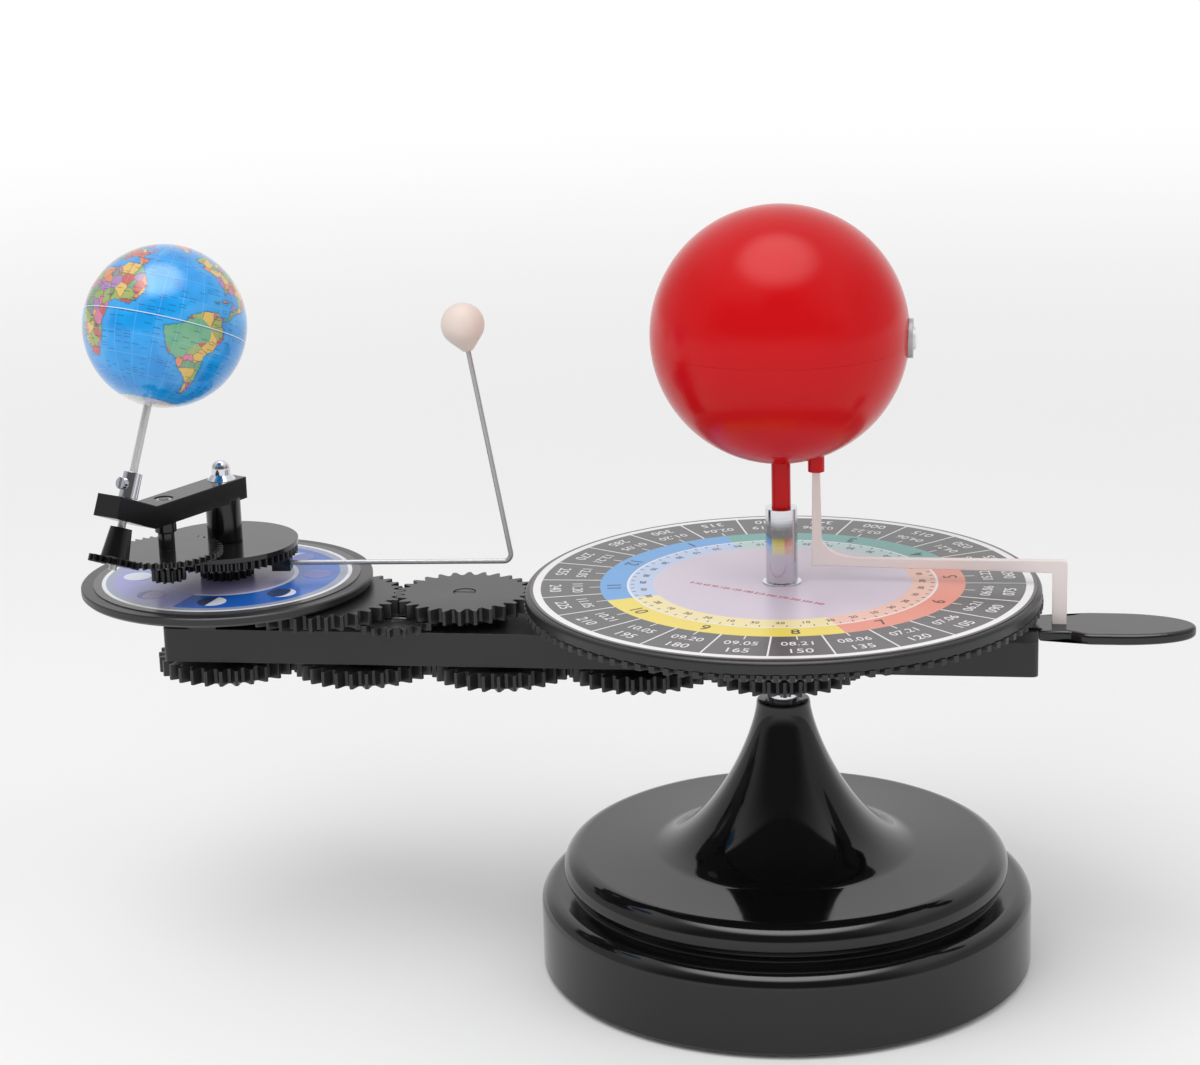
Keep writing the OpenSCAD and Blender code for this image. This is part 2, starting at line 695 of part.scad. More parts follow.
// Hole for the switch in the side of the sun
module switch_hole(r) {
    translate([sun_r - 12, 0, switch_z()]) rotate([0, 90, 0]) cylinder(r = r, h = 14);
}

function switch_z() = sun_z - 1.2;

// Lower shell of the sun with the stem boss and the bracket lug
module sun_lower() {
    floor_z = sun_z - sun_r;
    color(sun_red) difference() {
        union() {
            intersection() {
                translate([0, 0, sun_z]) difference() {
                    sphere(r = sun_r);
                    sphere(r = sun_r - sun_wall);
                }
                translate([0, 0, floor_z - 1]) cylinder(r = sun_r + 1, h = seam_z - floor_z + 1);
            }
            translate([0, 0, floor_z + 0.2]) cylinder(r = stem_r + 3, h = boss_h - 0.2);
            translate([bracket_pin_x, 0, lug_z]) cylinder(r = 2.6, h = pin_top + 1.6 - lug_z);
        }
        translate([0, 0, floor_z - 1]) cylinder(r = stem_r + seat_fit, h = boss_h + 2);
        translate([bracket_pin_x, 0, lug_z - 1]) linear_extrude(pin_top + 1.2 - lug_z)
            square([bracket_pin + 0.06, bracket_t + 0.06], center = true);
        switch_hole(button_r + 1.6);
    }
}

// Upper shell of the sun with a register lip inside the seam
module sun_upper() {
    lip_r = sqrt((sun_r - sun_wall) ^ 2 - sun_seam ^ 2);
    color(sun_red) difference() {
        union() {
            intersection() {
                translate([0, 0, sun_z]) difference() {
                    sphere(r = sun_r);
                    sphere(r = sun_r - sun_wall);
                }
                translate([0, 0, seam_z]) cylinder(r = sun_r + 1, h = sun_r + sun_seam + 1);
            }
            translate([0, 0, seam_z]) difference() {
                cylinder(r = lip_r + 0.3, h = 2.5);
                translate([0, 0, -1]) cylinder(r = lip_r - 1.4, h = 5);
            }
            translate([0, 0, seam_z - 2]) difference() {
                cylinder(r = lip_r - 0.5, h = 2.5);
                translate([0, 0, -1]) cylinder(r = lip_r - 1.4, h = 5);
            }
        }
        switch_hole(button_r + 1.6);
    }
}

// Ring round the switch button, seated on the sun's surface
module switch_bezel() {
    color("#b9bcc0") difference() {
        translate([0, 0, switch_z()]) rotate([0, 90, 0]) union() {
            translate([0, 0, sun_r - 7]) cylinder(r = button_r + 1.5, h = 8);
            translate([0, 0, sun_r - 1]) cylinder(r = button_r + 2.6, h = 2);
        }
        difference() {
            translate([0, 0, sun_z]) sphere(r = sun_r + 0.03);
            switch_hole(button_r + 1.55);
        }
        switch_hole(button_r + run_fit);
    }
}

// Switch behind the button
module switch_body() {
    color("#55585c") translate([sun_r - 16, -5, switch_z() - 5]) cube([9, 10, 10]);
}

// White domed push button
module switch_button() {
    dome = 9;
    length = 8.2;
    color("#f2f2f0") translate([sun_r - 7 + button_travel + 0.1, 0, switch_z()]) rotate([0, 90, 0])
        intersection() {
            cylinder(r = button_r, h = length);
            translate([0, 0, length - dome]) sphere(r = dome);
        }
}

// Case for the cells, seated on the stem boss
module battery_case() {
    floor_z = sun_z - sun_r + boss_h;
    color("#303236") translate([-battery_size[0] / 2, -battery_size[1] / 2, floor_z]) cube(battery_size);
}

// Lamp on the battery case
module lamp() {
    lamp_z = sun_z - sun_r + boss_h + battery_size[2];
    color("#fff4cf") translate([0, 0, lamp_z]) {
        cylinder(r = 2.5, h = 4);
        translate([0, 0, 4]) sphere(r = 2.5);
    }
}

// One of the three lower idlers
module lower_idler(k, phase) {
    color(gear_black) along(k * lower_pitch, 0, lower_z)
        spur(lower_teeth, gear_module, gear_backlash, phase, lower_gear_t, lower_pin_r + run_fit);
}

module gear_d() { lower_idler(1, d_phase); }
module gear_c() { lower_idler(2, c_phase); }
module gear_b() { lower_idler(3, b_phase); }

// Large upper gear with its lower pinion, sunk at the top for the screw head
module gear_main() {
    color(gear_black) along(main_x) difference() {
        union() {
            translate([0, 0, upper_z]) linear_extrude(main_gear_t)
                gear_2d(main_teeth, gear_module, gear_backlash, main_phase);
            translate([0, 0, low_layer_z]) linear_extrude(upper_z - low_layer_z + 0.1)
                gear_2d(low_pinion_teeth, gear_module, gear_backlash, main_phase);
        }
        translate([0, 0, low_layer_z - 1]) cylinder(r = upper_pin_r + run_fit, h = 20);
        translate([0, 0, main_top - head_sink]) cylinder(r = head_r + 0.4, h = head_sink + 1);
    }
}

// Small gear beside the large one, one level lower, sunk at the top for the screw head
module gear_small() {
    color(gear_black) along(small_x, small_y, low_layer_z) difference() {
        linear_extrude(low_layer_t) gear_2d(small_teeth, gear_module, gear_backlash, small_phase);
        translate([0, 0, -1]) cylinder(r = upper_pin_r + run_fit, h = low_layer_t + 2);
        translate([0, 0, low_layer_t - head_sink]) cylinder(r = head_r + 0.4, h = head_sink + 1);
    }
}

// Idler between the large upper gear and the moon pinion
module gear_idler() {
    color(gear_black) along(idler_x, idler_y, upper_z) difference() {
        linear_extrude(idler_t) gear_2d(idler_teeth, gear_module, gear_backlash, idler_phase);
        translate([0, 0, -1]) cylinder(r = upper_pin_r + run_fit, h = idler_t + 2);
        translate([0, 0, idler_t - head_sink]) cylinder(r = head_r + 0.4, h = head_sink + 1);
    }
}

// Last of the lower gears, fixed to the carrier's shaft
module end_gear() {
    color(gear_black) along(orbit_r, 0, lower_z)
        spur(lower_teeth, gear_module, gear_backlash, a_phase, lower_gear_t, shaft_r + seat_fit);
}

// Shaft that joins the end gear and the carrier's arm
module carrier_shaft() {
    head_z = lower_z - 2;
    color(chrome) along(orbit_r) {
        translate([0, 0, lower_z]) cylinder(r = shaft_r, h = arm_mid - lower_z);
        translate([0, 0, head_z]) cylinder(r = shaft_r + 2, h = lower_z - head_z);
    }
}

// Bent arm with its column, an axle boss and a raised end for the Earth rod
module carrier_arm() {
    out = [cos(earth_tilt), sin(earth_tilt)];
    up = [-sin(earth_tilt), cos(earth_tilt)];
    miter = [-tan(earth_tilt / 2), 1];
    knee = [knee_d, arm_mid];
    tip = knee + end_run * out;
    h = arm_t / 2;
    heel = -column_r - 0.6;
    color(black) difference() {
        union() {
            at_earth(carrier_turn) {
                upright(arm_w) polygon([[heel, arm_mid - h], knee - h * miter, tip - h * up,
                    tip + h * up, knee + h * miter, [heel, arm_mid + h]]);
                translate([0, 0, column_z]) cylinder(r = column_r, h = column_h + 1);
                translate([axle_d, 0, arm_z - axle_boss_h]) cylinder(r = axle_boss_r, h = axle_boss_h + 1);
            }
        }
        at_earth() translate([0, 0, column_z - 1])
            cylinder(r = shaft_r + seat_fit, h = arm_mid - column_z + 1);
        at_earth() translate([0, 0, arm_mid]) cylinder(r = column_screw_r + seat_fit, h = arm_t);
        at_earth(carrier_turn) translate([axle_d, 0, axle_disc_z])
            cylinder(r = axle_r + run_fit, h = arm_top - axle_disc_z + 1);
        at_earth(carrier_turn) translate([axle_d, 0, arm_top - clip_sink])
            cylinder(r = axle_r + clip_w + 0.3, h = clip_sink + 1);
        on_rod() cylinder(r = rod_r + run_fit, h = arm_seat + arm_t);
    }
}

// Domed screw with a coned washer in the top of the column
module carrier_screw() {
    dome = 3;
    washer = [4.6, 1.8];
    dome_z = washer[1] + 1.6;
    color(chrome) at_earth(carrier_turn) translate([0, 0, arm_top]) rotate_extrude() polygon(concat(
        [[0, 0.3 - arm_t / 2], [column_screw_r, 0.3 - arm_t / 2], [column_screw_r, 0],
         [washer[0], 0], [dome, washer[1]]], arc([0, dome_z], dome, 0, 90, 10)));
}

// Pinion on the moon sleeve, under the phase disc
module moon_pinion() {
    color(gear_black) along(orbit_r, 0, upper_z)
        spur(moon_teeth, gear_module, gear_backlash, moon_phase, idler_t, sleeve_r + seat_fit);
}

// Moon gear: a flanged disc with a splined foot, a sleeve and a lug for the wire
module moon_gear() {
    low = moon_foot_z + 1.6;
    color(gear_black) at_earth(moon_turn) difference() {
        union() {
            translate([0, 0, moon_tooth_z]) linear_extrude(moon_tooth_t)
                gear_2d(moon_gear_teeth, fine_module, fine_backlash, 0);
            translate([0, 0, moon_tooth_z + moon_tooth_t])
                cylinder(r = tip_r(moon_gear_teeth, fine_module) + 0.3, h = moon_flange_t);
            translate([0, 0, moon_foot_z]) linear_extrude(moon_foot_h + 0.1)
                gear_2d(20, fine_module, fine_backlash, 0);
            translate([0, 0, beam_top + 0.3]) cylinder(r = sleeve_r, h = moon_foot_z - beam_top);
            translate([wire_lug_x, -2.5, low]) cube([wire_lug_l, 5, moon_tooth_z - low + 0.1]);
        }
        translate([0, 0, beam_top]) cylinder(r = shaft_r + run_fit, h = moon_gear_top - beam_top + 1);
        translate([wire_lug_x - 1, 0, wire_z]) rotate([0, 90, 0])
            cylinder(r = wire_r + seat_fit, h = wire_lug_l + 2);
    }
}

// Closed tube of radius r along a path in x and z, whose steps are [x, z, heading]
module planar_tube(path, r, sides = 12) {
    last = len(path) - 1;
    rings = [for (q = path) for (k = [0 : sides - 1]) let (a = k * 360 / sides)
        [q[0] - r * cos(a) * sin(q[2]), r * sin(a), q[1] + r * cos(a) * cos(q[2])]];
    walls = [for (i = [0 : last - 1]) for (k = [0 : sides - 1]) let (n = (k + 1) % sides)
        [i * sides + k, (i + 1) * sides + k, (i + 1) * sides + n, i * sides + n]];
    ends = [[for (k = [0 : sides - 1]) k], [for (k = [sides - 1 : -1 : 0]) last * sides + k]];
    polyhedron(rings, concat(walls, ends));
}

// Bent wire that carries the moon
module moon_wire() {
    rise = phase_face + moon_rise - wire_z;
    lean = atan2(moon_elbow - moon_orbit, rise);
    turn = 90 + lean;
    cut = wire_bend * tan(turn / 2);
    leg = norm([moon_elbow - moon_orbit, rise]) - 1;
    bend = [for (k = [0 : 10]) let (h = turn * k / 10)
        [moon_elbow - cut + wire_bend * sin(h), wire_bend * (1 - cos(h)), h]];
    path = concat([[wire_lug_x, 0, 0]], bend, [[moon_elbow + leg * cos(turn), leg * sin(turn), turn]]);
    color(chrome) at_earth(moon_turn) translate([0, 0, wire_z]) planar_tube(path, wire_r);
}

// Moon ball with a short tapered neck on the end of the wire
module moon_ball() {
    lean = atan2(moon_elbow - moon_orbit, phase_face + moon_rise - wire_z);
    neck = moon_r + 1.6;
    color(cream) at_earth(moon_turn) translate([moon_orbit, 0, phase_face + moon_rise])
        rotate([0, -lean, 0]) difference() {
            union() {
                sphere(r = moon_r);
                translate([0, 0, -neck]) cylinder(r1 = wire_r + 0.8, r2 = wire_r + 1.8, h = 3);
            }
            translate([0, 0, -neck - 1]) cylinder(r = wire_r + seat_fit, h = neck + 0.2);
        }
}

// Carrier axle with the tall pinion that runs on the moon gear
module axle_pinion() {
    pin_z = wire_z + wire_r + 0.7;
    pin_t = moon_tooth_z + moon_tooth_t - face_gap - pin_z;
    color(gear_black) at_earth(carrier_turn) translate([axle_d, 0, 0]) {
        translate([0, 0, pin_z]) linear_extrude(pin_t)
            gear_2d(axle_pinion_teeth, fine_module, fine_backlash, axle_phase);
        translate([0, 0, pin_z]) cylinder(r = axle_neck_r, h = axle_disc_z - pin_z);
        translate([0, 0, axle_disc_z]) cylinder(r = axle_r, h = arm_top - 0.2 - axle_disc_z);
    }
}

// Disc gear on the carrier axle, which turns the tilted pinion, with a hub up to the arm
module axle_disc() {
    hub_top = arm_z - axle_boss_h - face_gap;
    color(gear_black) at_earth(carrier_turn) translate([axle_d, 0, axle_disc_z]) difference() {
        union() {
            linear_extrude(axle_disc_t) gear_2d(axle_disc_teeth, fine_module, fine_backlash, 0);
            cylinder(r = axle_neck_r, h = hub_top - axle_disc_z);
        }
        translate([0, 0, -1]) cylinder(r = axle_r + seat_fit, h = hub_top - axle_disc_z + 2);
    }
}

// Clip that keeps the carrier axle in the arm, sunk in the arm's top
module axle_clip() {
    color(chrome) at_earth(carrier_turn) translate([axle_d, 0, arm_top - clip_sink + 0.3]) difference() {
        cylinder(r = axle_r + clip_w, h = 1.2);
        translate([0, 0, -1]) cylinder(r = axle_r + seat_fit, h = 4);
    }
}

// Tilted pinion of the Earth with its hub
module earth_pinion() {
    color(gear_black) on_rod() difference() {
        union() {
            translate([0, 0, -pinion_half]) linear_extrude(2 * pinion_half)
                gear_2d(earth_pinion_teeth, fine_module, fine_backlash, earth_phase);
            cylinder(r1 = 4.6, r2 = 3.4, h = arm_seat - arm_t / 2 - 2);
        }
        translate([0, 0, -5]) cylinder(r = rod_r + seat_fit, h = 20);
    }
}

// Rod from the tilted pinion to the globe
module earth_rod() {
    color(chrome) on_rod() translate([0, 0, -pinion_half - 1.5])
        cylinder(r = rod_r, h = earth_rise + pinion_half + 1.5 + earth_r - earth_wall - 0.5);
}

// Chrome collar that holds the rod in the arm
module earth_collar() {
    color(chrome) on_rod() translate([0, 0, collar_s]) difference() {
        cylinder(r = collar_r, h = collar_h);
        translate([0, 0, -1]) cylinder(r = rod_r + seat_fit, h = collar_h + 2);
        translate([0, 0, collar_h / 2]) rotate([0, 90, 0]) cylinder(r = 1 + seat_fit, h = collar_r + 1);
    }
}

// Set screw in the side of the collar
module collar_screw() {
    color(chrome) on_rod() translate([rod_r + 0.1, 0, collar_s + collar_h / 2]) rotate([0, 90, 0])
        slotted_screw(1, collar_r - rod_r, 1.9, 1.6);
}

// Half of the globe, side is 1 for north and -1 for south
module globe_half(side) {
    inner = earth_r - earth_wall;
    on_rod() translate([0, 0, earth_rise]) difference() {
        union() {
            intersection() {
                difference() {
                    sphere(r = earth_r);
                    sphere(r = inner);
                }
                translate([0, 0, side > 0 ? 0 : -earth_r - 1]) cylinder(r = earth_r + 1, h = earth_r + 1);
            }
            translate([0, 0, side > 0 ? inner - 6 : -inner - 0.5]) cylinder(r = rod_r + 2, h = 6.5);
        }
        translate([0, 0, side > 0 ? inner - 7 : -earth_r - 1])
            cylinder(r = rod_r + seat_fit, h = side > 0 ? 6.8 : earth_wall + 9);
    }
}

module earth_south() { color("#2f86d8") globe_half(-1); }
module earth_north() { color("#2f86d8") globe_half(1); }

base_shell();
base_cover();
foot_pad();
post();
fixed_gear();
thrust_washer();
dial_gear();
dial_plate();
dial_label();
beam();
handle();
handle_screw();
bracket();
phase_disc();
phase_skirt();
phase_label();
screw_d();
screw_c();
screw_b();
screw_main();
screw_small();
screw_idler();
sun_stem();
sun_lower();
sun_upper();
switch_bezel();
switch_body();
battery_case();
lamp();
switch_button();
gear_d();
gear_c();
gear_b();
gear_main();
gear_small();
gear_idler();
end_gear();
carrier_shaft();
carrier_arm();
carrier_screw();
moon_pinion();
moon_gear();
moon_wire();
moon_ball();
axle_pinion();
axle_disc();
axle_clip();
earth_pinion();
earth_rod();
earth_collar();
collar_screw();
earth_south();
earth_north();
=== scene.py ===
"""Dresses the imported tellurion: its finishes, printed dials, globe map, studio and camera."""

import datetime
import json
import logging
import math
from dataclasses import dataclass
from enum import Enum
from typing import Any, Callable, Iterable, Optional, Sequence, Union

import bmesh
import bpy
import numpy as np
from mathutils import Matrix, Vector


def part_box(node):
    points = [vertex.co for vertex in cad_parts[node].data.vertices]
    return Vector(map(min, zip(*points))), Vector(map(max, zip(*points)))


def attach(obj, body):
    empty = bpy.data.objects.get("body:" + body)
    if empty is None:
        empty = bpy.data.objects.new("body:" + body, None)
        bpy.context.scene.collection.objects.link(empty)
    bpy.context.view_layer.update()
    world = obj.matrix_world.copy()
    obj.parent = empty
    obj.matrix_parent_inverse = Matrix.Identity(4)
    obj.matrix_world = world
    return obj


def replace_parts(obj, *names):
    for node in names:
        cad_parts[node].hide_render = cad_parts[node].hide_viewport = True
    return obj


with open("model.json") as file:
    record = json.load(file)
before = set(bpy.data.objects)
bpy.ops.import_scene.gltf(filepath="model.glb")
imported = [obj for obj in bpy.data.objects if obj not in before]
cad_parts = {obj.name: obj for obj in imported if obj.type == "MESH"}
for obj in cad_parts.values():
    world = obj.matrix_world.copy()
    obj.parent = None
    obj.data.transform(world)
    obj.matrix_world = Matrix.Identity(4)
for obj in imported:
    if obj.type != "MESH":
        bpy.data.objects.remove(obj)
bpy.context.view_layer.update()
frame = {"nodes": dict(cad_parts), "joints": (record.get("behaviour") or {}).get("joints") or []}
LOG = logging.getLogger("tellurion")
MM = 0.001
TURN = 2 * math.pi
INK_GRAIN = 1.2 * MM
LABEL_FIBRE = 0.7 * MM
GREY = "808080"
WHITE = (1.0, 1.0, 1.0, 1.0)
LAMP_AIM = (-0.03, 0.0, 0.12)
WIRE_SIDES = 20
SHARP_CORNER = math.radians(24)
MERGE = 0.001 * MM
Colour = tuple[float, float, float, float]
Pair = tuple[float, float]
Triple = tuple[float, float, float]
Material = bpy.types.Material
Mesh = bpy.types.Mesh


def ink(code: str) -> Colour:
    """Turns a written sRGB colour into linear light.

    Args:
        code: Six hex digits.

    Returns:
        Red, green, blue and alpha.
    """
    parts = [int(code[i : i + 2], 16) / 255 for i in (0, 2, 4)]
    red, green, blue = (
        c / 12.92 if c <= 0.04045 else ((c + 0.055) / 1.055) ** 2.4 for c in parts
    )
    return red, green, blue, 1.0


def toned(colour: Colour, by: float) -> Colour:
    """A colour made darker or lighter by a factor."""
    red, green, blue = (min(1.0, c * by) for c in colour[:3])
    return red, green, blue, 1.0


def operator(operation: str, swapped: bool = False) -> Callable[["Sock", Any], "Sock"]:
    """An operator between sockets or numbers that adds one Math node.

    Args:
        operation: The Math node's operation.
        swapped: True where the socket stands on the right.

    Returns:
        A method for Sock.
    """

    def combine(sock: "Sock", by: Any) -> "Sock":
        """Adds the node to the socket's own tree."""
        return sock.shop.maths(operation, *((by, sock) if swapped else (sock, by)))

    return combine


class Sock:
    """A node's output that takes part in sums: each operator adds one Math node."""

    def __init__(self, shop: "NodeShop", socket: bpy.types.NodeSocket) -> None:
        """Keeps the shop that adds nodes and the socket itself."""
        self.shop, self.socket = shop, socket

    def other(self, name: Union[str, int]) -> "Sock":
        """Another output of the same node."""
        return Sock(self.shop, self.socket.node.outputs[name])

    __add__, __radd__ = operator("ADD"), operator("ADD", True)
    __sub__, __rsub__ = operator("SUBTRACT"), operator("SUBTRACT", True)
    __truediv__, __rtruediv__ = operator("DIVIDE"), operator("DIVIDE", True)
    __mul__, __rmul__ = operator("MULTIPLY"), operator("MULTIPLY", True)

    def __abs__(self) -> "Sock":
        """Size without sign."""
        return self.shop.maths("ABSOLUTE", self)


class NodeShop:
    """Adds nodes to one shader or geometry tree."""

    def __init__(self, tree: bpy.types.NodeTree) -> None:
        """Keeps the tree."""
        self.tree = tree

    def node(
        self,
        kind: str,
        settings: Optional[dict[str, Any]] = None,
        inputs: Optional[dict[Union[str, int], Any]] = None,
    ) -> Sock:
        """Adds one node.

        Args:
            kind: The node's type.
            settings: Properties set before the sockets; "stops" fills a stepped colour ramp.
            inputs: Values or links of its sockets, by name or place.

        Returns:
            The node's first output, or its first input where it has no output.
        """
        made = self.tree.nodes.new(kind)
        for name, value in (settings or {}).items():
            if name == "stops":
                self._fill_ramp(made.color_ramp, value)
            else:
                setattr(made, name, value)
        for key, value in (inputs or {}).items():
            if isinstance(value, Sock):
                self.tree.links.new(value.socket, made.inputs[key])
            else:
                made.inputs[key].default_value = value
        return Sock(self, made.outputs[0] if len(made.outputs) else made.inputs[0])

    @staticmethod
    def _fill_ramp(ramp: bpy.types.ColorRamp, stops: Sequence[tuple[float, Colour]]) -> None:
        """Makes a colour ramp one of plain steps.

        Args:
            ramp: The node's ramp.
            stops: Place and colour of each step, in rising order.
        """
        ramp.interpolation = "CONSTANT"
        while len(ramp.elements) < len(stops):
            ramp.elements.new(1.0)
        for element, (place, colour) in zip(ramp.elements, stops):
            element.position, element.color = place, colour

    def maths(self, operation: str, *values: Any) -> Sock:
        """One Math node."""
        return self.node("ShaderNodeMath", {"operation": operation}, dict(enumerate(values)))

    def vector(self, operation: str, *values: Any) -> Sock:
        """One Vector Math node."""
        return self.node("ShaderNodeVectorMath", {"operation": operation}, dict(enumerate(values)))

    def together(self, *values: Any) -> Sock:
        """A vector from its coordinates."""
        return self.node("ShaderNodeCombineXYZ", None, dict(enumerate(values)))

    def apart(self, vector: Sock) -> list[Sock]:
        """A vector's three coordinates."""
        split = self.node("ShaderNodeSeparateXYZ", None, {0: vector})
        return [split.other(axis) for axis in "XYZ"]

    def step(self, value: Any, edge: float, soft: float) -> Sock:
        """Rises from 0 to 1 as value passes edge, over a width of soft."""
        return self.node(
            "ShaderNodeMapRange",
            {"interpolation_type": "SMOOTHSTEP"},
            {"Value": value, "From Min": edge - soft / 2, "From Max": edge + soft / 2},
        )

    def band(self, value: Any, low: float, high: float, soft: float) -> Sock:
        """1 between low and high and 0 elsewhere."""
        return self.step(value, low, soft) * (1 - self.step(value, high, soft))

    def mix(self, factor: Any, first: Any, second: Any) -> Sock:
        """A colour between two."""
        return self.node(
            "ShaderNodeMix", {"data_type": "RGBA"}, {0: factor, 6: first, 7: second}
        ).other(2)

    def sectors(self, value: Sock, codes: Sequence[str]) -> Sock:
        """Equal steps of the given inks as value goes from 0 to 1."""
        stops = [(i / len(codes), ink(code)) for i, code in enumerate(codes)]
        return self.node("ShaderNodeValToRGB", {"stops": stops}, {0: value})


class Paint(NodeShop):
    """One procedural material while it is being made."""

    def __init__(self, name: str) -> None:
        """Starts an empty material that reads object coordinates.

        Args:
            name: The material's name.
        """
        self.material = bpy.data.materials.new(name)
        self.material.use_nodes = True
        super().__init__(self.material.node_tree)
        self.tree.nodes.clear()
        self.place = self.node("ShaderNodeTexCoord").other("Object")

    def polar(self, centre: Triple = (0.0, 0.0, 0.0)) -> tuple[Sock, Sock]:
        """Radius and angle round an upright axis.

        Args:
            centre: A point of the axis, in metres.

        Returns:
            Radius in mm and angle in degrees.
        """
        x, y, _ = self.apart(self.vector("SUBTRACT", self.place, centre))
        radius = self.maths("SQRT", x * x + y * y) / MM
        return radius, self.maths("ARCTAN2", y, x) * (360 / TURN)

    def noise(self, size: float, detail: float = 2.0, stretch: Triple = (1, 1, 1)) -> Sock:
        """Smooth noise over the piece.

        Args:
            size: Feature size in metres.
            detail: Octaves.
            stretch: Factors on the coordinates.

        Returns:
            A value about 0.5.
        """
        at = self.vector("MULTIPLY", self.place, stretch)
        return self.node(
            "ShaderNodeTexNoise", None, {"Vector": at, "Scale": 1 / size, "Detail": detail}
        )

    def cells(self, size: float, feature: str = "F1", at: Optional[Sock] = None) -> Sock:
        """A Voronoi pattern's distance, with cells of about size."""
        inputs: dict[Union[str, int], Any] = {"Vector": at or self.place, "Scale": 1 / size}
        return self.node("ShaderNodeTexVoronoi", {"feature": feature}, inputs)

    def rounded(self, radius: float) -> Sock:
        """The normal with edges rounded to a radius."""
        return self.node("ShaderNodeBevel", {"samples": 4}, {"Radius": radius})

    def bump(self, height: Any, depth: float, normal: Optional[Sock] = None) -> Sock:
        """A normal raised by a height field.

        Args:
            height: The field, from 0 to 1.
            depth: Its full height in metres.
            normal: The normal that it starts from, if not the plain one.

        Returns:
            The raised normal.
        """
        inputs: dict[Union[str, int], Any] = {"Height": height, "Distance": depth}
        if normal is not None:
            inputs["Normal"] = normal
        return self.node("ShaderNodeBump", None, inputs)

    def surface(self, **sockets: Any) -> Material:
        """Ends the material in one Principled shader.

        Args:
            **sockets: Values or links of its sockets, with underscores for spaces in their names.

        Returns:
            The finished material.
        """
        inputs = {name.replace("_", " "): value for name, value in sockets.items()}
        shader = self.node("ShaderNodeBsdfPrincipled", None, inputs)
        self.node("ShaderNodeOutputMaterial", None, {"Surface": shader})
        return self.material


@dataclass(frozen=True)
class Relief:
    """Sizes of a fine relief, in mm."""

    size: float
    depth: float
    detail: float = 2.0
    stretch: Triple = (1, 1, 1)
    cells: bool = False

    def field(self, paint: Paint) -> Sock:
        """The relief as a value, from noise or from cells."""
        if self.cells:
            return paint.cells(self.size * MM)
        return paint.noise(self.size * MM, self.detail, self.stretch)


class Grain(Enum):
    """The fine relief that a way of making leaves on a surface."""

    # The skin of a spark-eroded mould, and the faint orange peel of a polished one.
    MOULDED = Relief(0.45, 0.012, 3.0)
    POLISHED = Relief(9.0, 0.02, 1.0)
    # Rings left by the lathe, one above the other, and lines along a drawn wire.
    TURNED = Relief(0.35, 0.004, stretch=(0.03, 0.03, 1))
    DRAWN = Relief(0.4, 0.006, stretch=(0.3, 1, 0.1))
    # Closed rubber cells.
    CELLS = Relief(1.1, 0.15, cells=True)


@dataclass(frozen=True)
class Finish:
    """How one moulded, turned or plated surface looks."""

    name: str
    colour: str
    roughness: float
    metallic: float = 0.0
    coat: float = 0.0
    subsurface: float = 0.0
    grain: Grain = Grain.MOULDED
    mottle: float = 0.12
    spread: float = 0.12
    edge: float = 0.3
    # Share of grey painted on edges: partly wear, partly painted highlight where edges catch light.
    edge_light: float = 0.0
    specular: float = 0.5

    CLOUD = 22 * MM
    RELIEF_GLOSS = 0.06
    EDGE_FOUND = (0.9, 0.16)
    EDGE_PATCHES = (0.45, 0.3)
    # The grey of the painted edge highlight and wear.
    RUBBED = "8c8c8c"
    COAT_ROUGHNESS = 0.04
    SCATTER = (0.004, 0.003, 0.002)

    def make(self) -> Material:
        """Builds the material.

        Returns:
            A material with colour, gloss and relief that vary as the real surface's do; its edges
            get a painted highlight that is partly wear.
        """
        paint = Paint(self.name)
        base = ink(self.colour)
        cloud = paint.noise(self.CLOUD, 3.0)
        relief = self.grain.value.field(paint)
        colour = paint.mix(cloud, toned(base, 1 - self.mottle), toned(base, 1 + self.mottle))
        normal = paint.rounded(self.edge * MM)
        rough = self.roughness + (cloud - 0.5) * self.spread + (relief - 0.5) * self.RELIEF_GLOSS
        # Painted highlight and wear: edges, found where the rounded normal leaves the face's own,
        # are lightened towards grey in patches.
        if self.edge_light:
            face = paint.node("ShaderNodeNewGeometry").other("Normal")
            lined = paint.vector("DOT_PRODUCT", normal, face).other("Value")
            edge_wear_and_highlight = 1 - paint.step(lined, *self.EDGE_FOUND)
            edge_wear_and_highlight = edge_wear_and_highlight * paint.step(cloud, *self.EDGE_PATCHES)
            colour = paint.mix(edge_wear_and_highlight * self.edge_light, colour, ink(self.RUBBED))
        return paint.surface(
            Base_Color=colour,
            Roughness=rough,
            Metallic=self.metallic,
            Specular_IOR_Level=self.specular,
            Coat_Weight=self.coat,
            Coat_Roughness=self.COAT_ROUGHNESS,
            Subsurface_Weight=self.subsurface,
            Subsurface_Radius=self.SCATTER,
            Normal=paint.bump(relief, self.grain.value.depth * MM, normal),
        )


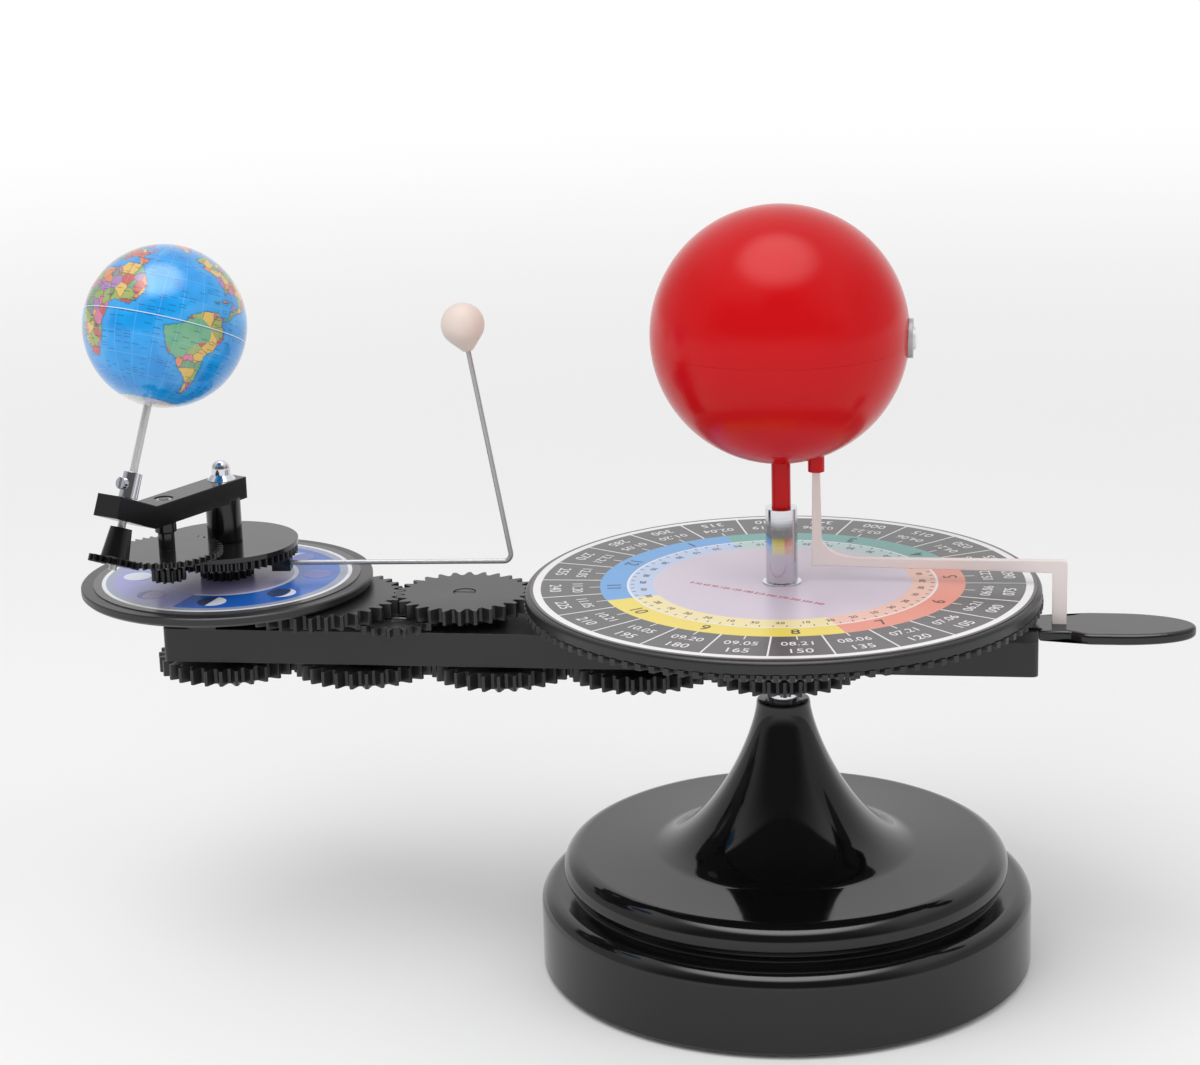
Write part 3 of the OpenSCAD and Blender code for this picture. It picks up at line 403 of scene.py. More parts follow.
FINISHES = {
    "base_gloss": Finish("gloss black", "0e0e0f", 0.07, 0, 0, 0, Grain.POLISHED, 0.2, 0.05, 0.5),
    "black_plastic": Finish("satin black", "1b1b1c", 0.36, edge_light=0.3),
    "gear_plastic": Finish("gear black", "222223", 0.33, edge_light=0.35),
    "gear_gloss": Finish("gloss gear black", "1c1c1d", 0.13, 0, 0, 0, Grain.POLISHED, 0.15, 0.08),
    "carrier_black": Finish(
        "deep gloss black", "0a0a0b", 0.16, 0, 0, 0, Grain.POLISHED, 0.15, 0.06, 0.6
    ),
    "rubber_foot": Finish("black rubber", "191919", 0.8, 0, 0, 0, Grain.CELLS),
    "chrome": Finish("chrome plate", "dcdde2", 0.1, 1.0, 0, 0, Grain.TURNED, 0.04, 0.06),
    "steel": Finish("bright steel", "b4b5b8", 0.3, 1.0, 0, 0, Grain.DRAWN, 0.05, 0.1),
    "wire_grey": Finish("drawn wire", "b6b8ba", 0.46, 0.7, 0, 0, Grain.DRAWN, 0.05, 0.1),
    "rod_silver": Finish("silver rod", "dddfde", 0.46, 0.75, 0, 0, Grain.DRAWN, 0.04, 0.1),
    "sun_red": Finish(
        "sun red", "c4060e", 0.2, 0, 0, 0, Grain.POLISHED, 0.05, 0.06, 0.25, specular=0.22
    ),
    "cream_plastic": Finish(
        "cream plastic", "e6dcda", 0.34, 0, 0, 0.12, Grain.MOULDED, 0.03, 0.1, 0.5
    ),
    "moon_ivory": Finish(
        "moon ivory", "e2d2c8", 0.46, 0, 0, 0.1, Grain.MOULDED, 0.05, 0.12, specular=0.3
    ),
    "switch_grey": Finish("switch grey", "b4b6b9", 0.3, mottle=0.05),
    "button_white": Finish("button white", "eeeeeb", 0.18, 0, 0.2, 0, Grain.POLISHED, 0.02, 0.06),
    "lamp_glass": Finish("lamp glass", "f2ead0", 0.08, 0, 0.5, 0, Grain.POLISHED, 0.03, 0.04),
}
OWN_FINISH = {
    "moon_gear": "gear_gloss",
    "axle_disc": "gear_gloss",
    "handle": "gear_gloss",
    "carrier_arm": "carrier_black",
    "axle_pinion": "carrier_black",
    "earth_pinion": "carrier_black",
    "screw_main": "gear_plastic",
    "earth_rod": "rod_silver",
}


def linked(name: str, data: bpy.types.ID) -> bpy.types.Object:
    """Puts an object into the scene.

    Args:
        name: The object's name.
        data: Its mesh, curve, camera or lamp.

    Returns:
        The new object.
    """
    made = bpy.data.objects.new(name, data)
    bpy.context.scene.collection.objects.link(made)
    return made


def piece(name: str, mesh: Mesh, body: str) -> bpy.types.Object:
    """Makes a mesh a piece of the object.

    Args:
        name: The piece's name.
        mesh: Its mesh, in place.
        body: The body that it rides on.

    Returns:
        The new object.
    """
    made = linked(name, mesh)
    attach(made, body)
    LOG.info("%s: %d faces on %s", name, len(mesh.polygons), body)
    return made


def evaluated_mesh(source: bpy.types.Object) -> Mesh:
    """Makes an object with its modifiers a plain mesh.

    Args:
        source: The object, which is then removed.

    Returns:
        The new mesh.
    """
    bpy.context.view_layer.update()
    graph = bpy.context.evaluated_depsgraph_get()
    mesh = bpy.data.meshes.new_from_object(source.evaluated_get(graph))
    bpy.data.objects.remove(source)
    return mesh


def freed(name: str, form: bmesh.types.BMesh) -> Mesh:
    """Makes a form a plain mesh.

    Args:
        name: The mesh's name.
        form: The form, which is then freed.

    Returns:
        The new mesh.
    """
    mesh = bpy.data.meshes.new(name)
    form.to_mesh(mesh)
    form.free()
    return mesh


def joined(name: str, parts: Iterable[Mesh], material: Material) -> Mesh:
    """Makes one mesh from several.

    Args:
        name: The new mesh's name.
        parts: The meshes, which are then removed.
        material: The one material of all of it.

    Returns:
        The new mesh.
    """
    form = bmesh.new()
    for part in parts:
        form.from_mesh(part)
        bpy.data.meshes.remove(part)
    for face in form.faces:
        face.material_index = 0
    mesh = freed(name, form)
    mesh.materials.clear()
    mesh.materials.append(material)
    return mesh


class GeometryTree(NodeShop):
    """A geometry tree with named inputs, run on an object of its own."""

    SOCKETS = {int: "NodeSocketInt", float: "NodeSocketFloat"}

    def __init__(self, name: str, sizes: dict[str, Union[int, float]], material: Material) -> None:
        """Makes the tree and its inputs.

        Args:
            name: The tree's name.
            sizes: The value of each size, by the input's name.
            material: The material that the result gets.
        """
        super().__init__(bpy.data.node_groups.new(name, "GeometryNodeTree"))
        face = self.tree.interface
        face.new_socket("Geometry", in_out="INPUT", socket_type="NodeSocketGeometry")
        self.values: dict[str, Any] = {}
        for key, value in sizes.items():
            made = face.new_socket(key, in_out="INPUT", socket_type=self.SOCKETS[type(value)])
            self.values[made.identifier] = value
        made = face.new_socket("Material", in_out="INPUT", socket_type="NodeSocketMaterial")
        self.values[made.identifier] = material
        face.new_socket("Geometry", in_out="OUTPUT", socket_type="NodeSocketGeometry")
        self.given = self.node("NodeGroupInput")

    def size(self, name: str) -> Sock:
        """A named input."""
        return self.given.other(name)

    def end(self, geometry: Sock) -> None:
        """Realizes the instances, sets the material and closes the tree.

        Args:
            geometry: What the tree has made.
        """
        real = self.node("GeometryNodeRealizeInstances", None, {0: geometry})
        dressed = self.node(
            "GeometryNodeSetMaterial", None, {"Geometry": real, "Material": self.size("Material")}
        )
        self.node("NodeGroupOutput", None, {0: dressed})

    def run(self, start: Optional[Mesh] = None) -> Mesh:
        """Runs the tree on an object of its own.

        Args:
            start: The mesh that it works on, or None for an empty one.

        Returns:
            The result as a plain mesh.
        """
        holder = linked("holder", start or bpy.data.meshes.new("start"))
        modifier = holder.modifiers.new("tree", "NODES")
        modifier.node_group = self.tree
        for identifier, value in self.values.items():
            modifier[identifier] = value
        return evaluated_mesh(holder)


def tick_ring(
    count: int,
    radius: float,
    size: Triple,
    level: float,
    start: float,
    material: Material,
) -> Mesh:
    """A ring of printed bars that point at its centre.

    Args:
        count: Number of bars.
        radius: Radius of their middles in mm.
        size: Length along the radius, width and height in mm.
        level: Height of their middles in mm.
        start: Angle of the first in degrees.
        material: Their ink.

    Returns:
        One plain mesh.
    """
    sizes: dict[str, Union[int, float]] = {
        "Count": count,
        "Radius": radius * MM,
        "Length": size[0] * MM,
        "Width": size[1] * MM,
        "Height": size[2] * MM,
        "Level": level * MM,
        "Start": math.radians(start),
    }
    tree = GeometryTree("tick ring", sizes, material)
    angle = tree.size("Start") + tree.node("GeometryNodeInputIndex") * (TURN / tree.size("Count"))
    spot = tree.together(
        tree.maths("COSINE", angle) * tree.size("Radius"),
        tree.maths("SINE", angle) * tree.size("Radius"),
        tree.size("Level"),
    )
    points = tree.node("GeometryNodePoints", None, {"Count": tree.size("Count"), "Position": spot})
    extent = tree.together(tree.size("Length"), tree.size("Width"), tree.size("Height"))
    bar = tree.node("GeometryNodeMeshCube", None, {"Size": extent})
    turn = tree.node("FunctionNodeEulerToRotation", None, {0: tree.together(0.0, 0.0, angle)})
    placed = tree.node(
        "GeometryNodeInstanceOnPoints", None, {"Points": points, "Instance": bar, "Rotation": turn}
    )
    tree.end(placed)
    return tree.run()


def tube_along(path: Sequence[Vector], radius: float, material: Material) -> Mesh:
    """A round wire along a path.

    Args:
        path: Points in metres.
        radius: The wire's radius in metres.
        material: Its finish.

    Returns:
        A closed tube.
    """
    line = bpy.data.meshes.new("wire path")
    line.from_pydata([tuple(p) for p in path], [(i, i + 1) for i in range(len(path) - 1)], [])
    tree = GeometryTree("round wire", {"Radius": radius, "Sides": WIRE_SIDES}, material)
    rail = tree.node("GeometryNodeMeshToCurve", None, {0: tree.given.other("Geometry")})
    ring = tree.node(
        "GeometryNodeCurvePrimitiveCircle",
        None,
        {"Resolution": tree.size("Sides"), "Radius": tree.size("Radius")},
    )
    tube = tree.node(
        "GeometryNodeCurveToMesh", None, {"Curve": rail, "Profile Curve": ring, "Fill Caps": True}
    )
    tree.end(tube)
    return tree.run(line)


def numeral(text: str, height: float, thick: float) -> Mesh:
    """Plain figures as a thin printed solid, centred on the origin.

    Args:
        text: Digits.
        height: Letter size in mm.
        thick: Thickness of the ink in mm.

    Returns:
        A mesh in metres.
    """
    curve = bpy.data.curves.new("figures", "FONT")
    curve.body, curve.size, curve.extrude = text, height * MM, thick / 2 * MM
    curve.align_x, curve.align_y, curve.resolution_u = "CENTER", "CENTER", 3
    return evaluated_mesh(linked("figures", curve))


def satin(
    paint: Paint, worn: Sock, colour: Sock, gloss: Pair = (0.3, 0.2), depth: float = 0.004
) -> Material:
    """Ends a print's material with its satin face.

    Args:
        paint: The material.
        worn: The print's fine unevenness.
        colour: Its colour.
        gloss: Least roughness, and how much the unevenness adds to it.
        depth: The unevenness's depth in mm.

    Returns:
        The finished material.
    """
    least, more = gloss
    return paint.surface(
        Base_Color=colour,
        Roughness=least + worn * more,
        Normal=paint.bump(worn, depth * MM),
    )


def printed_ink(name: str, code: str) -> Material:
    """Screen-printed ink of one colour, a little uneven.

    Args:
        name: The material's name.
        code: Its colour, in six hex digits.

    Returns:
        The ink's material.
    """
    paint = Paint(name)
    base = ink(code)
    worn = paint.noise(INK_GRAIN, 3.0)
    return satin(paint, worn, paint.mix(worn, toned(base, 0.88), toned(base, 1.06)))


@dataclass
class SeasonDial:
    """The large dial's printed face: 24 divisions, dates and four seasons."""

    face: float = 126.6
    white_ring: Pair = (76.1, 78.5)
    colour_ring: Pair = (48.9, 57.4)
    pale_ring: float = 40.6
    first_line: float = 1.4
    spring: float = 113.9
    divisions: int = 24
    day_ticks: int = 72
    day_tick_r: float = 47.2
    ink_thick: float = 0.05
    cloud: float = 30.0
    fade: float = 0.2
    pale_fade: float = 0.3
    pale_line: float = 0.7
    # How grey the fibre is, least roughness and what the fibre adds, and its depth.
    fibre_grey: float = 0.12
    gloss: Pair = (0.24, 0.12)
    depth: float = 0.006
    # Sizes of the marks; a pair is length and width.
    line_width: float = 0.55
    notch: Pair = (3.2, 0.4)
    notch_gap: float = 1.7
    day_tick: Pair = (1.2, 0.3)
    # Letter size and radius of each ring of figures.
    degrees: Pair = (5.4, 71.6)
    dates: Pair = (4.8, 64.6)
    months: Pair = (6.4, 53.2)
    days: Pair = (2.9, 44.0)
    # The red row across the middle.
    row_size: float = 2.4
    row_spot: Pair = (-7.0, -13.0)
    row_turn: float = -26.6

    MONTHS = 12
    DAYS_SHOWN = (10, 20, 30)
    ROW = range(0, 361, 30)
    FIRST_DAY = datetime.date(2023, 2, 4)
    FIRST_DEGREE = 315
    YEAR = 365.2422
    STRONG = ("5fa8a2", "5aa5e6", "f2df55", "ea8f78")
    PALE = ("b9d6d6", "bcd2f3", "f4e9ac", "f0c3b1")

    def print_material(self) -> Material:
        """The label's coloured ground.

        Returns:
            Rings and season sectors drawn from the radius and the angle.
        """
        paint = Paint("season print")
        radius, angle = paint.polar()
        start = (self.spring - 90) % 360
        part = paint.maths("FRACT", (angle - start) / 360 + 1)
        strong, pale = paint.sectors(part, self.STRONG), paint.sectors(part, self.PALE)
        fibre = paint.noise(LABEL_FIBRE, 3.0)
        cloud = paint.noise(self.cloud * MM, 2.0)
        middle = paint.mix(cloud, ink("ccc6dc"), ink("dcd3dd"))
        low, high = self.colour_ring
        line = paint.band(radius, low - self.pale_line, low, self.fade)
        ring = paint.band(radius, *self.white_ring, self.fade)
        dark = paint.mix(cloud, ink("4a4a4c"), ink("545456"))
        colour = paint.mix(paint.step(radius, self.pale_ring, self.pale_fade), middle, pale)
        colour = paint.mix(paint.step(radius, low, self.fade), colour, strong)
        colour = paint.mix(line, colour, ink("eef0f6"))
        colour = paint.mix(paint.step(radius, high, self.fade), colour, dark)
        colour = paint.mix(ring, colour, ink("f4f4f5"))
        soft = paint.mix(fibre * self.fibre_grey, colour, ink(GREY))
        return satin(paint, fibre, soft, self.gloss, self.depth)

    def _figures(self, text: str, ring: Pair, angle: float, level: float) -> Mesh:
        """Figures on a ring, with their heads towards its centre.

        Args:
            text: The figures.
            ring: Letter size and radius in mm.
            angle: Their place on the ring in degrees.
            level: Height of their middle in mm.

        Returns:
            A thin solid, in place.
        """
        size, radius = ring
        mesh = numeral(text, size, self.ink_thick)
        way = math.radians(angle)
        spot = Vector((math.cos(way) * radius, math.sin(way) * radius, level)) * MM
        mesh.transform(Matrix.Translation(spot) @ Matrix.Rotation(way + TURN / 4, 4, "Z"))
        return mesh

    def build(self) -> None:
        """Dresses the label and lays the printed marks on it."""
        frame["nodes"]["dial_label"].data.materials[0] = self.print_material()
        thick = self.ink_thick
        level = self.face + thick / 2
        white = printed_ink("white print", "f0f0f1")
        dark = printed_ink("dark print", "3c3a40")
        red = printed_ink("red print", "c03048")
        low, high = self.colour_ring[1], self.white_ring[0]
        step = 360 / self.divisions
        first, half = self.first_line, self.first_line + step / 2
        line, notch = (high - low, self.line_width, thick), (*self.notch, thick)
        marks = [
            tick_ring(self.divisions, (low + high) / 2, line, level, first, white),
            tick_ring(self.divisions, low + self.notch_gap, notch, level, half, white),
        ]
        for k in range(self.divisions):
            angle = self.spring - step * k
            degree = (self.FIRST_DEGREE + step * k) % 360
            days = round(self.YEAR * k / self.divisions)
            date = self.FIRST_DAY + datetime.timedelta(days=days)
            marks.append(self._figures(f"{degree:03.0f}", self.degrees, angle, level))
            marks.append(self._figures(date.strftime("%m.%d"), self.dates, angle, level))
        piece("dial_white_print", joined("dial white print", marks, white), "stand")
        tick = (*self.day_tick, thick)
        marks = [tick_ring(self.day_ticks, self.day_tick_r, tick, level, first, dark)]
        month = 360 / self.MONTHS
        for k in range(self.MONTHS):
            start = self.spring - month * k
            name = str((k + 1) % self.MONTHS + 1)
            marks.append(self._figures(name, self.months, start - month / 2, level))
            for day in self.DAYS_SHOWN:
                marks.append(self._figures(str(day), self.days, start - day, level))
        piece("dial_dark_print", joined("dial dark print", marks, dark), "stand")
        row = numeral(" ".join(str(a) for a in self.ROW), self.row_size, thick)
        spot = Vector((*self.row_spot, level)) * MM
        turn = Matrix.Rotation(math.radians(self.row_turn), 4, "Z")
        row.transform(Matrix.Translation(spot) @ turn)
        piece("dial_red_print", joined("dial red print", [row], red), "stand")


@dataclass
class PhaseDial:
    """The small dial's printed face: sky halves and eight moon phases."""

    centre: Triple = (-180 * MM, 0.0, 0.0)
    face: float = 126.1
    white_ring: Pair = (39.0, 40.3)
    sky: float = 36.4
    arc: Pair = (21.6, 23.0)
    split: float = 77.0
    moon_ring: float = 29.4
    moon_size: float = 4.6
    first_moon: float = 5.6
    front_moons: Pair = (-107.0, -15.0)
    faint_moon: Pair = (-155.0, -107.0)
    zone_fade: float = 2.0
    phases: int = 8
    edge_points: int = 39
    ink_thick: float = 0.05
    night_lift: float = -0.01
    lit_lift: float = 0.02
    cloud: float = 24.0
    fade: float = 0.3
    rim_fade: float = 0.2
    dusk_fade: float = 0.004
    # How grey the fibre is, least roughness and what the fibre adds, and its depth.
    fibre_grey: float = 0.08
    gloss: Pair = (0.2, 0.1)
    depth: float = 0.005
    ink_grey: float = 0.12

    def print_material(self) -> Material:
        """The label's ground: a light half, a dark half, and rings.

        Returns:
            A material drawn from the radius and the angle.
        """
        paint = Paint("phase print")
        radius, angle = paint.polar(self.centre)
        part = paint.maths("FRACT", (angle - self.split) / 360 + 1)
        dusk = paint.band(part, 0.0, 0.5, self.dusk_fade)
        cloud = paint.noise(self.cloud * MM, 3.0)
        fibre = paint.noise(LABEL_FIBRE, 3.0)
        light = paint.mix(cloud, ink("8d93da"), ink("aaa6d8"))
        deep = paint.mix(cloud, ink("1058ba"), ink("1e70d2"))
        colour = paint.mix(dusk, deep, light)
        rim = paint.mix(cloud, ink("8f99b4"), ink("a4abc0"))
        inner = paint.mix(cloud, ink("a3a3d6"), ink("b9b2d8"))
        colour = paint.mix(paint.step(radius, self.arc[0], self.fade), inner, colour)
        sweep = paint.band(radius, *self.arc, self.fade) * (1 - dusk)
        colour = paint.mix(sweep, colour, ink("dfe6f7"))
        colour = paint.mix(paint.step(radius, self.sky, self.fade), colour, rim)
        dark = paint.mix(cloud, ink("464648"), ink("505052"))
        outside = paint.step(radius, self.white_ring[1] - self.rim_fade, self.rim_fade)
        colour = paint.mix(outside, colour, dark)
        ring = paint.band(radius, *self.white_ring, self.rim_fade)
        colour = paint.mix(ring, colour, ink("f2f2f4"))
        soft = paint.mix(fibre * self.fibre_grey, colour, ink(GREY))
        return satin(paint, fibre, soft, self.gloss, self.depth)

    def _zone_ink(self, name: str, zone: Pair, inside: str, outside: str) -> Material:
        """Ink of one colour in a zone of angles and of another outside it.

        Args:
            name: The material's name.
            zone: First and last angle in degrees.
            inside: Colour code in the zone.
            outside: Colour code elsewhere.

        Returns:
            The ink's material.
        """
        paint = Paint(name)
        _, angle = paint.polar(self.centre)
        worn = paint.noise(INK_GRAIN, 3.0)
        there = paint.band(angle, *zone, self.zone_fade)
        base = paint.mix(there, ink(outside), ink(inside))
        return satin(paint, worn, paint.mix(worn * self.ink_grey, base, ink(GREY)))

    def _lit_part(self, phase: float, steps: int = 24) -> list[Pair]:
        """The outline of a moon's lit part.

        Args:
            phase: From 0, new, to 1, full.
            steps: Points along its limb.

        Returns:
            Places in mm round the moon's own middle.
        """
        size = self.moon_size
        limb = [(math.cos(t), math.sin(t)) for t in np.linspace(-math.pi / 2, math.pi / 2, steps)]
        edge = 1 - 2 * phase
        shade = [(edge * x, y) for x, y in reversed(limb[1:-1])]
        return [(x * size, y * size) for x, y in limb + shade]

    def _flat(self, edge: Sequence[Pair], spot: Vector, turn: float, level: float) -> Mesh:
        """A thin printed solid from an outline.

        Args:
            edge: The outline in mm, anticlockwise from above.
            spot: Where its middle goes, in metres.
            turn: Its turn in radians.
            level: Height of its underside in mm.

        Returns:
            The solid, in place.
        """
        count, top = len(edge), self.ink_thick * MM
        corners = [(x * MM, y * MM, z) for z in (0, top) for x, y in edge]
        under, over = range(count), range(count, 2 * count)
        faces: list[Sequence[int]] = [under[::-1], over]
        for i in range(count):
            k = (i + 1) % count
            faces.append((under[i], under[k], over[k], over[i]))
        mesh = bpy.data.meshes.new("phase mark")
        mesh.from_pydata(corners, [], faces)
        lift = Vector((0, 0, level * MM))
        mesh.transform(Matrix.Translation(spot + lift) @ Matrix.Rotation(turn, 4, "Z"))
        return mesh

    def build(self) -> None:
        """Dresses the label and prints the eight phases on it."""
        frame["nodes"]["phase_label"].data.materials[0] = self.print_material()
        pale = self._zone_ink("moon print", self.faint_moon, "bfb2dc", "e9ecf6")
        night = self._zone_ink("night print", self.front_moons, "16305e", "7f88ce")
        lit, shaded = [], []
        size, turns = self.moon_size, np.linspace(0, TURN, self.edge_points + 1)[:-1]
        circle = [(math.cos(t) * size, math.sin(t) * size) for t in turns]
        full = self.phases // 2
        for k in range(self.phases):
            angle = math.radians(self.first_moon + 360 / self.phases * k)
            out = Vector((math.cos(angle), math.sin(angle), 0))
            spot = out * self.moon_ring * MM + Vector(self.centre)
            phase = 1 - abs(k - full) / full
            shaded.append(self._flat(circle, spot, angle, self.face + self.night_lift))
            if phase > 0:
                turn = math.radians(self.split + (90 if k < full else -90))
                level = self.face + self.lit_lift
                lit.append(self._flat(self._lit_part(phase), spot, turn, level))
        piece("phase_night_print", joined("phase night print", shaded, night), "arm")
        piece("phase_moon_print", joined("phase moon print", lit, pale), "arm")


def outline(text: str) -> np.ndarray:
    """Longitude and latitude pairs from a plain list of degrees."""
    return np.array([float(word) for word in text.split()]).reshape(-1, 2)


LANDS = {
    "north america": (
        "-168 66 -162 70 -156 71 -141 70 -128 70 -115 69 -108 68 -95 70 -90 69 -82 69 -82 67"
        " -87 65 -94 61 -93 58 -85 55 -80 52 -79 55 -77 58 -78 62 -72 62 -66 59 -61 57 -56 53"
        " -59 50 -66 50 -64 47 -60 46 -66 44 -70 43 -74 40 -76 35 -81 31 -80 26 -82 28 -85 30"
        " -90 29 -97 28 -97 22 -94 18 -90 21 -87 21 -88 16 -84 15 -83 10 -78 9 -80 7 -84 9 -88"
        " 13 -94 16 -105 20 -109 25 -113 31 -110 23 -115 30 -121 35 -124 40 -124 48 -130 54 -135"
        " 58 -145 60 -152 59 -158 56 -163 55 -158 58 -162 60 -166 62 -161 64"
    ),
    "south america": (
        "-78 8 -72 12 -62 10 -52 5 -50 0 -44 -3 -35 -6 -37 -12 -39 -18 -42 -23 -48 -26 -53 -33"
        " -57 -36 -62 -39 -65 -43 -67 -47 -69 -52 -68 -55 -73 -53 -75 -48 -73 -40 -71 -30 -70"
        " -20 -76 -14 -81 -5 -80 1 -77 4"
    ),
    "africa": (
        "-6 36 3 37 10 37 11 33 20 31 25 32 32 31 35 28 37 21 43 12 51 12 49 7 43 0 39 -6 41"
        " -15 35 -20 33 -26 28 -33 20 -35 18 -32 15 -26 12 -17 13 -10 9 -1 9 4 4 6 -4 5 -8 4 -13"
        " 9 -17 14 -17 21 -13 27 -10 31"
    ),
    "eurasia": (
        "-9 37 -9 43 -2 43 -1 46 -5 48 2 51 8 54 10 57 11 54 19 54 21 57 24 59 30 60 23 60 21"
        " 62 25 65 22 66 17 62 19 60 16 57 13 55 11 59 6 58 5 62 12 66 18 70 28 71 40 67 44 68"
        " 54 68 60 69 68 73 73 71 80 73 98 76 105 78 113 74 130 71 140 73 160 70 178 69 179 65"
        " 170 60 163 56 157 51 156 57 160 61 150 59 142 59 135 55 141 53 140 48 132 43 128 40"
        " 129 35 126 35 125 39 118 39 122 37 119 35 122 31 119 26 114 22 108 21 106 18 109 13"
        " 105 9 100 13 99 8 103 2 101 3 98 9 98 16 94 16 91 22 87 21 80 15 80 11 77 8 73 17 72"
        " 21 67 25 58 25 48 30 51 25 56 26 59 22 52 16 45 13 39 21 35 28 34 31 36 36 30 36 27 37"
        " 27 40 33 42 41 41 37 45 34 45 31 46 28 42 24 40 23 37 20 40 14 45 18 40 16 38 12 42 9"
        " 44 3 43 0 40 -2 37 -6 36"
    ),
    "australia": (
        "114 -22 122 -18 130 -12 136 -12 136 -16 140 -17 142 -11 146 -19 153 -26 151 -34 147"
        " -38 140 -38 136 -34 131 -32 124 -33 115 -34"
    ),
    "greenland": "-45 60 -53 66 -55 70 -68 76 -60 82 -35 83 -20 80 -20 72 -30 68 -40 65",
    "baffin": "-62 66 -72 71 -85 74 -88 72 -78 69 -72 66 -66 63",
    "ellesmere": "-62 82 -75 83 -90 81 -88 77 -76 78",
    "victoria": "-105 69 -116 70 -118 73 -106 73",
    "madagascar": "43 -22 44 -17 49 -12 50 -16 47 -25",
    "britain": "-5 50 1 51 1 53 -2 56 -3 58 -6 57 -3 54 -5 52",
    "ireland": "-10 52 -6 52 -6 55 -9 54",
    "iceland": "-24 65 -18 66 -14 65 -18 63",
    "japan": "130 31 136 34 141 36 142 40 145 43 142 45 140 42 139 38 132 35",
    "sumatra": "95 6 104 -2 105 -6 100 -1",
    "java": "106 -6 114 -7 114 -8 106 -7",
    "borneo": "109 1 113 3 117 7 119 5 117 -3 111 -3",
    "sulawesi": "119 0 124 1 121 -1 123 -4 120 -5",
    "new guinea": "131 -1 138 -2 147 -6 150 -10 143 -9 138 -8 133 -4",
    "luzon": "120 18 122 17 124 13 126 7 122 8 120 14",
    "new zealand": "173 -35 178 -38 175 -41 170 -46 167 -46 172 -41",
    "cuba": "-85 22 -80 23 -74 20 -77 20",
    "hispaniola": "-74 20 -69 19 -72 18",
    "ceylon": "80 9 82 7 80 6",
    "tasmania": "145 -41 148 -41 147 -44",
}
FOREST = (
    "-60 5 -50 2 -44 -2 -35 -6 -37 -12 -39 -18 -48 -26 -54 -24 -57 -18 -62 -12 -70 -10 -70"
    " -3 -66 2"
)


@dataclass(frozen=True)
class Overprint:
    """One ink of the globe's map, and how much it covers what lies under it."""

    code: str
    share: float

    def on(self, paint: Paint, colour: Sock, mask: Sock) -> Sock:
        """The colour with this ink on it where the mask is 1."""
        return paint.mix(mask * self.share, colour, ink(self.code))


